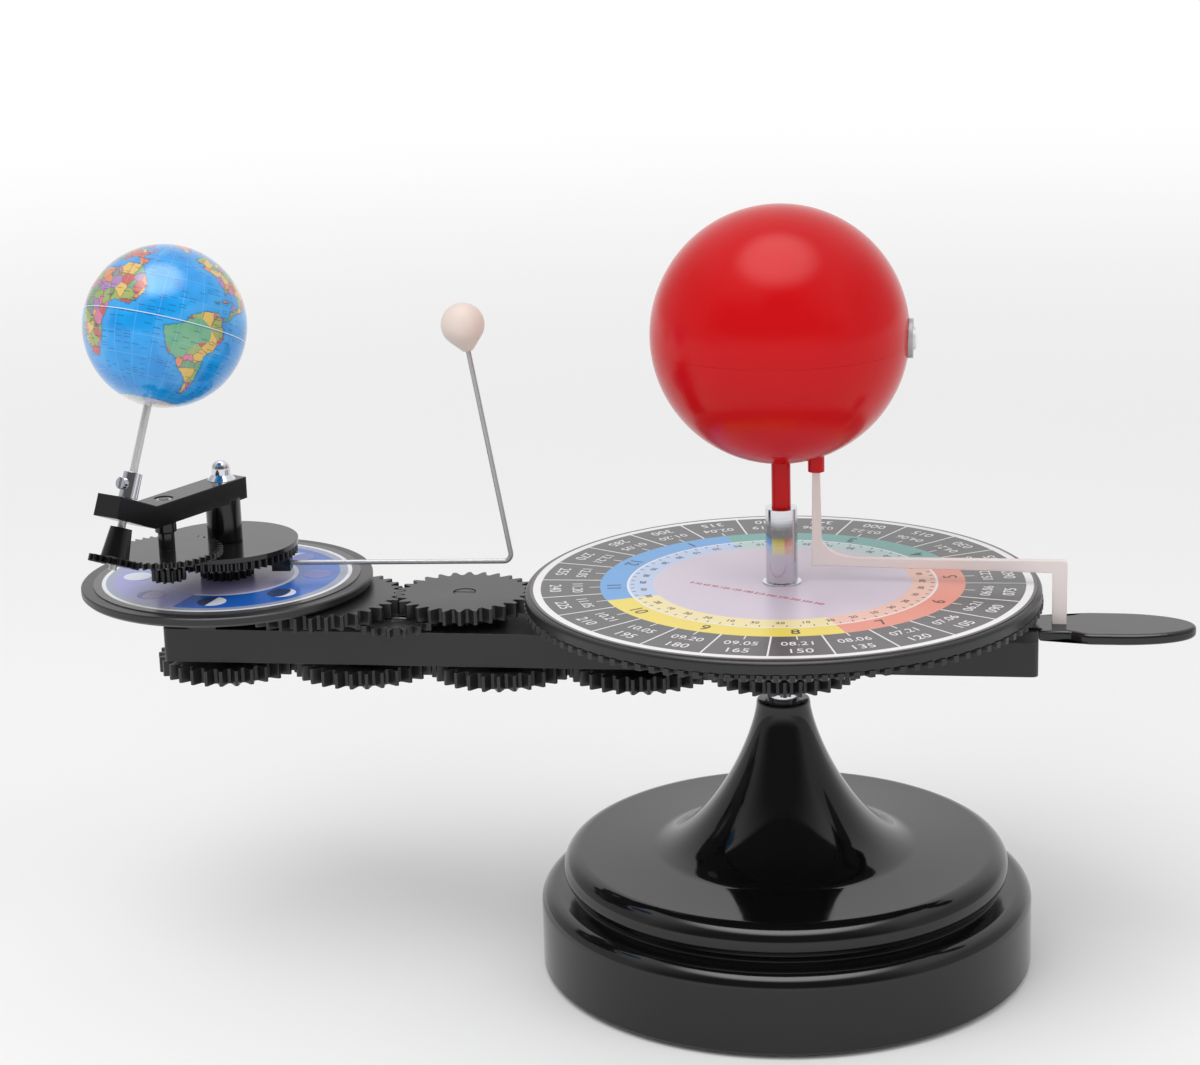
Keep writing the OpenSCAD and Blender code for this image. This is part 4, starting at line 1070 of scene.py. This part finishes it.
@dataclass
class Globe:
    """The Earth ball: a printed shell that stands for both moulded halves."""

    centre: Vector
    axis: Vector
    radius: float
    facing: float = -36.0
    hand: int = -1
    rows: int = 150
    columns: int = 300
    ice_edge: float = -69.0
    # Sizes of patches and cells on the ball, in mm.
    coast_grain: float = 1.6
    sea_patch: float = 11.0
    leaf_patch: float = 6.0
    country: float = 3.7
    border_swirl: float = 10 / 3
    border_warp: float = 1.8
    # Degrees from the shore; a set of three is first, last and softness.
    coast_wander: float = 3.2
    coast_fade: float = 0.35
    shallows: Triple = (-6.0, 0.5, 6.0)
    shore_line: Triple = (-0.45, 0.35, 0.3)
    forest_fade: float = 0.5
    # Edge and softness of a border, in shares of a country.
    border: Pair = (0.035, 0.03)
    # Number of lines, and half their width in shares of their spacing.
    meridians: Pair = (24, 0.012)
    parallels: Pair = (12, 0.009)
    line_fade: float = 0.012
    # Shares of the map's height, from the south pole up.
    frost: Pair = (0.14, 0.01)
    equator: Triple = (0.4985, 0.502, 0.0012)
    equator_shade: Triple = (0.4945, 0.4975, 0.0012)
    # The fine print's places, and shares of one place.
    print_columns: int = 52
    print_rows: int = 92
    print_chance: Pair = (0.76, 0.01)
    print_height: Triple = (0.32, 0.68, 0.12)
    print_length: Triple = (0.12, 0.88, 0.06)
    print_letters: int = 7
    print_letter: Pair = (0.3, 0.3)
    # The varnish: size and depth of its unevenness in mm, roughness and coat.
    skin: Pair = (8.0, 0.02)
    gloss: Pair = (0.14, 0.08)
    coat: Pair = (0.5, 0.05)

    TINTS = ("cf7f9c", "dcb860", "76a07c", "d98f64", "a884b4", "c2625a", "9dae68")
    SHALLOWS = Overprint("7cc6f0", 0.2)
    BORDER = Overprint("6b4a48", 0.55)
    SHORE = Overprint("235a86", 0.55)
    GRID = Overprint("a9d4f2", 0.3)
    WORDS = Overprint("0f3762", 0.7)
    FROST = Overprint("d5e8f5", 0.55)
    EQUATOR = Overprint("dfeaf6", 0.75)
    EQUATOR_SHADE = Overprint("1d4f8e", 0.7)

    @classmethod
    def in_frame(cls) -> "Globe":
        """Finds the globe in the frame.

        Returns:
            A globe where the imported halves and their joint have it.
        """
        boxes = [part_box(name) for name in ("earth_north", "earth_south")]
        low = Vector(min(b[0][i] for b in boxes) for i in range(3))
        high = Vector(max(b[1][i] for b in boxes) for i in range(3))
        spin = next(j for j in frame["joints"] if j["name"] == "earth_spin")
        return cls((low + high) / 2, Vector(spin["axis"]).normalized(), max(high - low) / 2)

    def _shore(self, lon: np.ndarray, lat: np.ndarray, lands: Iterable[np.ndarray]) -> np.ndarray:
        """Degrees from the nearest shore, above 0 on land.

        Args:
            lon: Longitudes in degrees.
            lat: Latitudes in degrees.
            lands: Outlines.

        Returns:
            One signed distance for each place.
        """
        best = np.full(lon.shape, -90.0)
        scale = np.maximum(np.cos(np.radians(lat)), 0.05)
        for land in lands:
            inside = np.zeros(lon.shape, bool)
            far = np.full(lon.shape, 1e9)
            for (x0, y0), (x1, y1) in zip(land, np.roll(land, -1, 0)):
                ax, ay = (x0 - lon) * scale, y0 - lat
                bx, by = (x1 - lon) * scale, y1 - lat
                dx, dy = bx - ax, by - ay
                along = np.clip(-(ax * dx + ay * dy) / (dx * dx + dy * dy + 1e-12), 0, 1)
                far = np.minimum(far, (ax + along * dx) ** 2 + (ay + along * dy) ** 2)
                cross = (y0 > lat) != (y1 > lat)
                where = (x1 - x0) * (lat - y0) / (y1 - y0 + 1e-12) + x0
                inside ^= cross & (lon < where)
            best = np.maximum(best, np.where(inside, 1, -1) * np.sqrt(far))
        return best

    def _faces(self, rings: int) -> list[tuple[int, ...]]:
        """The shell's faces between its rings of points and at its poles.

        Args:
            rings: Number of rings; the south pole and the north pole follow their points.

        Returns:
            Numbers of each face's corners, turned outwards.
        """
        n, last = self.columns, (rings - 1) * self.columns
        south, north = rings * n, rings * n + 1
        faces: list[tuple[int, ...]] = []
        for j in range(rings - 1):
            for i in range(n):
                k = (i + 1) % n
                faces.append((j * n + i, j * n + k, (j + 1) * n + k, (j + 1) * n + i))
        for i in range(n):
            k = (i + 1) % n
            faces.append((k, i, south))
            faces.append((last + i, last + k, north))
        return [face[::-1] for face in faces] if self.hand < 0 else faces

    def mesh(self, eye: Vector) -> Mesh:
        """The shell, with its map stored as distances from the shore.

        Args:
            eye: The place that the facing meridian looks towards.

        Returns:
            A closed sphere with a UV map and two point attributes.
        """
        pole = self.axis
        ahead = (eye - self.centre) - pole * (eye - self.centre).dot(pole)
        ahead.normalize()
        aside = pole.cross(ahead)
        lats = np.linspace(-90, 90, self.rows + 1)[1:-1]
        lons = np.arange(self.columns) * 360 / self.columns - 180
        lon, lat = (grid.ravel() for grid in np.meshgrid(lons, lats))
        lon, lat = np.append(lon, [0, 0]), np.append(lat, [-90, 90])
        turn = np.radians((lon - self.facing) * self.hand)
        up, out = np.sin(np.radians(lat)), np.cos(np.radians(lat))
        spots = (
            np.outer(out * np.cos(turn), ahead)
            + np.outer(out * np.sin(turn), aside)
            + np.outer(up, pole)
        )
        shell = bpy.data.meshes.new("globe shell")
        places = (spots * self.radius + np.array(self.centre)).tolist()
        shell.from_pydata(places, [], self._faces(len(lats)))
        lands = [outline(text) for text in LANDS.values()]
        shore = np.maximum(self._shore(lon, lat, lands), self.ice_edge - lat)
        forest = self._shore(lon, lat, [outline(FOREST)])
        for name, values in (("shore", shore), ("forest", forest)):
            layer = shell.attributes.new(name, "FLOAT", "POINT")
            layer.data.foreach_set("value", values.astype(np.float32))
        chart = shell.uv_layers.new(name="chart")
        for face in shell.polygons:
            face.use_smooth = True
            east = lon[list(face.vertices)]
            east = np.where(east.max() - east > 180, east + 360, east)
            for loop, at, x in zip(face.loop_indices, face.vertices, east):
                chart.data[loop].uv = ((x + 180) / 360, (lat[at] + 90) / 180)
        return shell

    def print_material(self) -> Material:
        """The map: sea, countries, borders, shore lines, grid and fine print.

        Returns:
            A gloss material drawn from the shell's own map.
        """
        paint = Paint("globe print")
        shore, forest = (
            paint.node("ShaderNodeAttribute", {"attribute_name": name}).other("Fac")
            for name in ("shore", "forest")
        )
        coast = shore + (paint.noise(self.coast_grain * MM, 4.0) - 0.5) * self.coast_wander
        land = paint.step(coast, 0, self.coast_fade)
        colour = paint.mix(land, self._sea(paint, coast), self._ground(paint, forest))
        colour = self.SHORE.on(paint, colour, paint.band(coast, *self.shore_line))
        lon, lat, _ = paint.apart(paint.node("ShaderNodeUVMap", {"uv_map": "chart"}))
        grid = self._lines(paint, lon, *self.meridians) + self._lines(paint, lat, *self.parallels)
        colour = self.GRID.on(paint, colour, paint.maths("MINIMUM", grid, 1.0))
        colour = self.WORDS.on(paint, colour, self._fine_print(paint, lon, lat))
        frost = land * (1 - paint.step(lat, *self.frost))
        colour = self.FROST.on(paint, colour, frost)
        colour = self.EQUATOR.on(paint, colour, paint.band(lat, *self.equator))
        colour = self.EQUATOR_SHADE.on(paint, colour, paint.band(lat, *self.equator_shade))
        size, depth = self.skin
        least, more = self.gloss
        skin = paint.noise(size * MM)
        return paint.surface(
            Base_Color=colour,
            Roughness=least + skin * more,
            Coat_Weight=self.coat[0],
            Coat_Roughness=self.coat[1],
            Normal=paint.bump(skin, depth * MM),
        )

    def _sea(self, paint: Paint, coast: Sock) -> Sock:
        """Two blues in wide patches, paler along the shore.

        Args:
            paint: The globe's material.
            coast: Degrees from the shore, above 0 on land.

        Returns:
            The sea's colour.
        """
        depth = paint.noise(self.sea_patch * MM, 3.0)
        sea = paint.mix(paint.step(depth, 0.5, 0.5), ink("0788d6"), ink("13a0ec"))
        return self.SHALLOWS.on(paint, sea, paint.band(coast, *self.shallows))

    def _ground(self, paint: Paint, forest: Sock) -> Sock:
        """Countries in plain tints with thin borders, and one wide forest.

        Args:
            paint: The globe's material.
            forest: Degrees from the forest's edge, above 0 in it.

        Returns:
            The land's colour.
        """
        swirl = paint.noise(self.border_swirl * MM).other("Color")
        shift = paint.vector("MULTIPLY", swirl, (self.border_warp * MM,) * 3)
        warped = paint.vector("ADD", paint.place, shift)
        cell = paint.cells(self.country * MM, "F1", warped)
        pick = paint.node("ShaderNodeSeparateColor", None, {0: cell.other("Color")})
        green = paint.mix(paint.noise(self.leaf_patch * MM), ink("4f9a78"), ink("86b893"))
        wood = paint.step(forest, 0, self.forest_fade)
        ground = paint.mix(wood, paint.sectors(pick, self.TINTS), green)
        seam = paint.cells(self.country * MM, "DISTANCE_TO_EDGE", warped)
        border = (1 - paint.step(seam, *self.border)) * (1 - wood)
        return self.BORDER.on(paint, ground, border)

    def _lines(self, paint: Paint, value: Sock, count: float, width: float) -> Sock:
        """Thin lines where value times count is whole."""
        off = abs(paint.maths("FRACT", value * count + 0.5) - 0.5)
        return 1 - paint.step(off, width, self.line_fade)

    def _fine_print(self, paint: Paint, lon: Sock, lat: Sock) -> Sock:
        """Short rows of specks, as small print looks from far off.

        Args:
            paint: The globe's material.
            lon: Place round the map, from 0 to 1.
            lat: Place up the map, from 0 to 1.

        Returns:
            1 on the specks and 0 elsewhere.
        """
        across, down = lon * self.print_columns, lat * self.print_rows
        cell = paint.together(paint.maths("FLOOR", across), paint.maths("FLOOR", down))
        chance = paint.node("ShaderNodeTexWhiteNoise", {"noise_dimensions": "2D"}, {"Vector": cell})
        here = paint.step(chance, *self.print_chance)
        row = paint.band(paint.maths("FRACT", down), *self.print_height)
        span = paint.band(paint.maths("FRACT", across), *self.print_length)
        letters = paint.maths("FRACT", across * self.print_letters)
        specks = paint.step(letters, *self.print_letter)
        return here * row * span * specks

    def build(self, eye: Vector) -> None:
        """Makes the ball and puts it in place of the two halves.

        Args:
            eye: The place that the facing meridian looks towards.
        """
        shell = self.mesh(eye)
        shell.materials.append(self.print_material())
        ball = piece("globe_shell", shell, "earth")
        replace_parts(ball, "earth_north", "earth_south")


@dataclass
class MoonWire:
    """The moon's bent wire, round and smooth."""

    axis: Triple = (-180.0, 0.0, 0.0)
    level: float = 130.3
    turn: float = 4.0
    start: float = 15.18
    elbow: float = 93.0
    orbit: float = 80.0
    rise: float = 77.5
    bend: float = 2.4
    radius: float = 0.8
    short: float = 1.0
    bend_steps: int = 14

    @property
    def lean(self) -> float:
        """The leg's angle from upright."""
        return math.atan2(self.elbow - self.orbit, self.rise)

    def build(self, finish: Material) -> None:
        """Makes the wire along its own route and puts it in place of the plain one.

        Args:
            finish: The wire's material.
        """
        low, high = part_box("moon_wire")
        total = math.pi / 2 + self.lean
        cut = self.bend * math.tan(total / 2)
        leg = math.hypot(self.elbow - self.orbit, self.rise) - self.short
        flat = [(self.start, 0.0)]
        for k in range(self.bend_steps + 1):
            h = total * k / self.bend_steps
            along = self.elbow - cut + self.bend * math.sin(h)
            flat.append((along, self.bend * (1 - math.cos(h))))
        flat.append((self.elbow + leg * math.cos(total), leg * math.sin(total)))
        spin = Matrix.Rotation(math.radians(self.turn), 4, "Z")
        shift = Vector(self.axis) + Vector((0, 0, self.level))
        path = [(spin @ Vector((x, 0, z)) + shift) * MM for x, z in flat]
        mesh = tube_along(path, self.radius * MM, finish)
        for face in mesh.polygons:
            face.use_smooth = len(face.vertices) == 4
        made = piece("moon_wire_round", mesh, "moon")
        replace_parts(made, "moon_wire")
        LOG.info("wire box %s to %s", tuple(low), tuple(high))


def turned(name: str, section: Sequence[Pair], segments: int, finish: Material) -> Mesh:
    """Turns a closed section round the vertical axis.

    Args:
        name: The mesh's name.
        section: Radius and height round the section, in mm.
        segments: Steps of the turn.
        finish: Its material.

    Returns:
        A closed mesh, smooth but for its sharp corners.
    """
    turns = np.arange(segments) * TURN / segments
    spots = [
        (r * MM * math.cos(t), r * MM * math.sin(t), z * MM) for t in turns for r, z in section
    ]
    count = len(section)
    faces = []
    for i in range(segments):
        this, following = i * count, (i + 1) % segments * count
        for j in range(count):
            k = (j + 1) % count
            faces.append((this + j, this + k, following + k, following + j))
    mesh = bpy.data.meshes.new(name)
    mesh.from_pydata(spots, [], faces)
    form = bmesh.new()
    form.from_mesh(mesh)
    bmesh.ops.remove_doubles(form, verts=form.verts, dist=MERGE)
    bare = [edge for edge in form.edges if not edge.link_faces]
    bmesh.ops.delete(form, geom=bare, context="EDGES")
    bmesh.ops.recalc_face_normals(form, faces=form.faces)
    form.to_mesh(mesh)
    form.free()
    for face in mesh.polygons:
        face.use_smooth = True
    mesh.set_sharp_from_angle(angle=SHARP_CORNER)
    mesh.materials.append(finish)
    return mesh


@dataclass
class MoonBall:
    """The moon, a ball that runs smoothly into its neck."""

    radius: float = 6.9
    neck: float = 8.5
    neck_r: float = 1.6
    bore: float = 0.82
    bore_end: float = 0.8
    arc_points: int = 40
    segments: int = 96

    def _section(self) -> list[Pair]:
        """The ball's half section, from the top down to the neck and up its bore.

        Returns:
            Radius and height in mm, from the ball's middle.
        """
        reach = math.hypot(self.neck_r, self.neck)
        touch = math.atan2(self.neck_r, self.neck) + math.acos(self.radius / reach)
        ball = [
            (self.radius * math.sin(t), -self.radius * math.cos(t))
            for t in np.linspace(math.pi, touch, self.arc_points)
        ]
        bore = [(self.bore, -self.neck), (self.bore, -self.bore_end), (0.0, -self.bore_end)]
        return [*ball, (self.neck_r, -self.neck), *bore]

    def build(self, wire: MoonWire, finish: Material) -> None:
        """Turns the ball about the wire's leg and puts it in place of the plain one.

        Args:
            wire: The wire that carries it.
            finish: The ball's material.
        """
        mesh = turned("moon ball", self._section(), self.segments, finish)
        place = Matrix.Translation(Vector(wire.axis) * MM)
        place @= Matrix.Rotation(math.radians(wire.turn), 4, "Z")
        place @= Matrix.Translation(Vector((wire.orbit, 0, wire.level + wire.rise)) * MM)
        place @= Matrix.Rotation(-wire.lean, 4, "Y")
        mesh.transform(place)
        made = piece("moon_ball_smooth", mesh, "moon")
        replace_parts(made, "moon_ball")


@dataclass
class PostWasher:
    """The thin bright washer round the post's foot on the dial."""

    inner: float = 5.02
    outer: float = 6.2
    level: float = 126.6
    thick: float = 0.5
    rim_points: int = 9
    segments: int = 96

    def build(self, finish: Material) -> None:
        """Turns the washer with a rounded outer edge.

        Args:
            finish: The washer's material.
        """
        half = self.thick / 2
        middle = self.level + half
        rim = [
            (self.outer - half + half * math.cos(t), middle + half * math.sin(t))
            for t in np.linspace(-math.pi / 2, math.pi / 2, self.rim_points)
        ]
        section = [(self.inner, self.level), *rim, (self.inner, self.level + self.thick)]
        mesh = turned("post washer", section, self.segments, finish)
        piece("post_washer", mesh, "stand")


@dataclass
class StandShell:
    """The stand's shell as one smooth turned skin."""

    base_r: float = 79.0
    tier_h: float = 27.0
    top_r: float = 71.5
    top_h: float = 39.0
    foot_r: float = 43.0
    neck_r: float = 8.6
    neck_h: float = 88.0
    foot_h: float = 1.0
    bore: float = 5.02
    wall: float = 3.0
    lip: Pair = (0.6, 1.5)
    flare: Pair = (1.18, 1.48)
    flare_end: float = 86.0
    flare_points: int = 61
    shoulder: float = 6.0
    cove: float = 4.0
    cove_lift: float = 1.5
    groove: float = 2.0
    groove_edge: Pair = (0.5, 0.6)
    rim: float = 5.0
    chamfer: float = 1.0
    hub_r: float = 11.0
    hub_lift: float = 2.0
    tier_wall: float = 8.0
    top_inset: float = 10.0
    segments: int = 256

    # Points of an arc, and the ends of three in degrees from outwards.
    ARC_POINTS = 17
    QUARTER, SHOULDER, COVE = (90, 0), (90, 15), (0, -60)

    def _arc(self, x: float, z: float, rx: float, rz: float, ends: Pair) -> list[Pair]:
        """Points of an elliptical arc between two angles in degrees."""
        turns = np.radians(np.linspace(*ends, self.ARC_POINTS))
        return [(x + rx * math.cos(t), z + rz * math.sin(t)) for t in turns]

    def _profile(self) -> list[Pair]:
        """The wall's section, from the lip outwards and back inside.

        Returns:
            Radius and height in mm round a closed outline.
        """
        lip_w, lip_h = self.lip
        lip, step = self.neck_h - lip_h, self.tier_h + self.cove_lift
        drop, spread = lip - self.top_h, self.foot_r - self.neck_r
        bends = np.radians(np.linspace(0, self.flare_end, self.flare_points)[1:])
        across, down = self.flare
        trumpet = [
            (self.foot_r - spread * math.cos(t) ** across, lip - drop * math.sin(t) ** down)
            for t in bends
        ]
        bend, cove, rim = self.shoulder, self.cove, self.rim
        groove, edge = self.top_r - self.groove, self.groove_edge
        inner, hollow = self.base_r - self.wall, self.top_r - self.top_inset
        tier, roof = self.tier_h - self.tier_wall, self.top_h - self.wall
        hub_end = self.foot_h + self.hub_lift
        return [
            (self.bore, self.neck_h),
            *self._arc(self.neck_r - lip_w, lip, lip_w, lip_h, self.QUARTER),
            *trumpet,
            (self.foot_r, self.top_h),
            *self._arc(self.top_r - bend, self.top_h - bend, bend, bend, self.SHOULDER),
            *self._arc(self.top_r - cove, step + cove, cove, cove, self.COVE),
            (groove, step),
            (groove, self.tier_h + edge[1]),
            (self.top_r - edge[0], self.tier_h),
            *self._arc(self.base_r - rim, self.tier_h - rim, rim, rim, self.QUARTER),
            (self.base_r, self.foot_h + self.chamfer),
            (self.base_r - self.chamfer, self.foot_h),
            (inner, self.foot_h),
            (inner, tier),
            (hollow, tier),
            (hollow, roof),
            (self.hub_r, roof),
            (self.hub_r, hub_end),
            (self.bore, hub_end),
        ]

    def build(self, finish: Material) -> None:
        """Turns the section round the post and puts it in place of the plain shell."""
        mesh = turned("stand skin", self._profile(), self.segments, finish)
        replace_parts(piece("stand_skin", mesh, "stand"), "base_shell")


@dataclass
class Viewpoint:
    """The photograph's camera, in the object's frame."""

    place: Triple = (72.24, -860.28, 381.77)
    yaw: float = -8.58
    pitch: float = 15.41
    roll: float = -1.63
    lens: float = 85.52
    sensor: float = 36.0
    clip: Pair = (0.01, 50.0)

    @property
    def eye(self) -> Vector:
        """Where the camera stands, in metres."""
        return Vector(self.place) * MM

    def build(self) -> None:
        """Makes the camera and gives it to the scene."""
        yaw, pitch, roll = (math.radians(a) for a in (self.yaw, self.pitch, self.roll))
        level = math.cos(pitch)
        ahead = Vector((math.sin(yaw) * level, math.cos(yaw) * level, -math.sin(pitch)))
        right = Vector((math.cos(yaw), -math.sin(yaw), 0))
        up = right.cross(ahead)
        across = right * math.cos(roll) + up * math.sin(roll)
        above = up * math.cos(roll) - right * math.sin(roll)
        data = bpy.data.cameras.new("camera")
        data.sensor_width, data.lens = self.sensor, self.lens
        data.clip_start, data.clip_end = self.clip
        camera = linked("camera", data)
        turn = Matrix((across, above, -ahead)).transposed().to_4x4()
        camera.matrix_world = Matrix.Translation(self.eye) @ turn
        bpy.context.scene.camera = camera


@dataclass
class Studio:
    """A pale floor and soft light all round."""

    floor_colour: str = "f7f7f7"
    sky_level: float = 0.72
    mirror_level: float = 0.95
    front_level: float = 0.1
    side_level: float = 0.5
    glow_level: float = 4.0
    key_power: float = 6.5
    key_place: Triple = (-0.45, -0.55, 1.25)
    key_size: float = 0.9
    fill_share: float = 0.35
    fill_place: Triple = (0.9, -0.5, 0.9)
    fill_size: float = 0.8
    floor_radius: float = 9.0
    floor_segments: int = 96
    floor_cloud: float = 0.4
    floor_tone: Pair = (0.99, 1.01)
    # Edge and softness of what mirrors see, by the coordinates of a direction.
    front_from: Pair = (0.3, 0.9)
    front_height: Triple = (0.1, 0.84, 0.16)
    side_from: Pair = (0.65, 0.5)
    side_top: Pair = (0.66, 0.4)
    glow_aim: Pair = (0.16, 0.987)
    glow_edge: Pair = (0.9, 0.14)
    # Distance and softness of the floor's fade into white, in metres.
    floor_fade: Pair = (1.2, 2.0)

    def build(self) -> None:
        """Makes the world, the floor and the lamps."""
        scene = bpy.context.scene
        scene.view_settings.view_transform = "Standard"
        self._world(scene)
        self._floor()
        self._lamp("key", self.key_place, self.key_size, self.key_power)
        self._lamp("fill", self.fill_place, self.fill_size, self.key_power * self.fill_share)

    def _world(self, scene: bpy.types.Scene) -> None:
        """White to the eye, even for matt faces; mirrors see a lamp overhead and darker walls.

        Args:
            scene: The scene that gets the world.
        """
        world = bpy.data.worlds.new("studio")
        world.use_nodes = True
        scene.world = world
        shop = NodeShop(world.node_tree)
        shop.tree.nodes.clear()
        ray = shop.node("ShaderNodeLightPath")
        x, y, z = shop.apart(shop.node("ShaderNodeTexCoord").other("Generated"))
        front = shop.step(y * -1, *self.front_from) * shop.band(z, *self.front_height)
        side = shop.step(abs(x), *self.side_from) * (1 - shop.step(z, *self.side_top))
        near, high = self.glow_aim
        lamp = shop.step(z * high - y * near, *self.glow_edge)
        dim = shop.maths(
            "MAXIMUM",
            front * (self.mirror_level - self.front_level),
            side * (self.mirror_level - self.side_level),
        )
        mirror = self.mirror_level - dim + lamp * self.glow_level
        shiny = shop.maths("MAXIMUM", ray.other("Is Glossy Ray"), ray.other("Is Transmission Ray"))
        level = self.sky_level + shiny * (mirror - self.sky_level)
        seen = ray.other("Is Camera Ray")
        strength = level + seen * (1.0 - level)
        light = shop.node("ShaderNodeBackground", None, {"Color": WHITE, "Strength": strength})
        shop.node("ShaderNodeOutputWorld", None, {"Surface": light})

    def _floor(self) -> None:
        """A wide pale disc under the object that keeps its shadow."""
        form = bmesh.new()
        bmesh.ops.create_circle(
            form, cap_ends=True, radius=self.floor_radius, segments=self.floor_segments
        )
        mesh = freed("floor", form)
        paint = Paint("floor")
        cloud = paint.noise(self.floor_cloud, 2.0)
        radius, _ = paint.polar()
        far = paint.step(radius * MM, *self.floor_fade)
        base = ink(self.floor_colour)
        tone = paint.mix(cloud, *(toned(base, by) for by in self.floor_tone))
        matte = paint.node("ShaderNodeBsdfDiffuse", None, {"Color": tone})
        glow = paint.node("ShaderNodeEmission", None, {"Color": WHITE, "Strength": 1.0})
        blend = paint.node("ShaderNodeMixShader", None, {0: far, 1: matte, 2: glow})
        paint.node("ShaderNodeOutputMaterial", None, {"Surface": blend})
        mesh.materials.append(paint.material)
        linked("floor", mesh)

    @staticmethod
    def _lamp(name: str, place: Triple, size: float, power: float) -> None:
        """A soft square lamp that looks at the object's middle.

        Args:
            name: The lamp's name.
            place: Where it hangs, in metres.
            size: Its side in metres.
            power: Its power in watts.
        """
        data = bpy.data.lights.new(name, "AREA")
        data.energy, data.size = power, size
        lamp = linked(name, data)
        lamp.location = place
        lamp.visible_glossy = False
        aim = Vector(LAMP_AIM) - Vector(place)
        lamp.rotation_euler = aim.to_track_quat("-Z", "Y").to_euler()


class Tellurion:
    """The whole object: parts dressed by their slots, then the printed and smoother pieces."""

    def __init__(self) -> None:
        """Makes the finishes."""
        self.finishes = {slot: finish.make() for slot, finish in FINISHES.items()}

    def dress(self) -> None:
        """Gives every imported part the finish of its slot."""
        for name, node in sorted(frame["nodes"].items()):
            slot = node.data.materials[0].name.split(".")[0]
            slot = OWN_FINISH.get(name, slot)
            if slot in self.finishes:
                node.data.materials[0] = self.finishes[slot]
                LOG.info("%s: %s", name, slot)

    def build(self, eye: Vector) -> None:
        """Dresses the parts and adds the pieces.

        Args:
            eye: Where the camera stands, which the globe's map faces.
        """
        self.dress()
        SeasonDial().build()
        PhaseDial().build()
        Globe.in_frame().build(eye)
        wire = MoonWire()
        wire.build(self.finishes["wire_grey"])
        MoonBall().build(wire, self.finishes["moon_ivory"])
        StandShell().build(self.finishes["base_gloss"])
        PostWasher().build(self.finishes["chrome"])


def main() -> None:
    """Builds the object, the studio and the camera, and notes the sizes."""
    logging.basicConfig(level=logging.INFO, format="%(message)s")
    view = Viewpoint()
    view.build()
    Tellurion().build(view.eye)
    Studio().build()


if __name__ == "__main__":
    main()
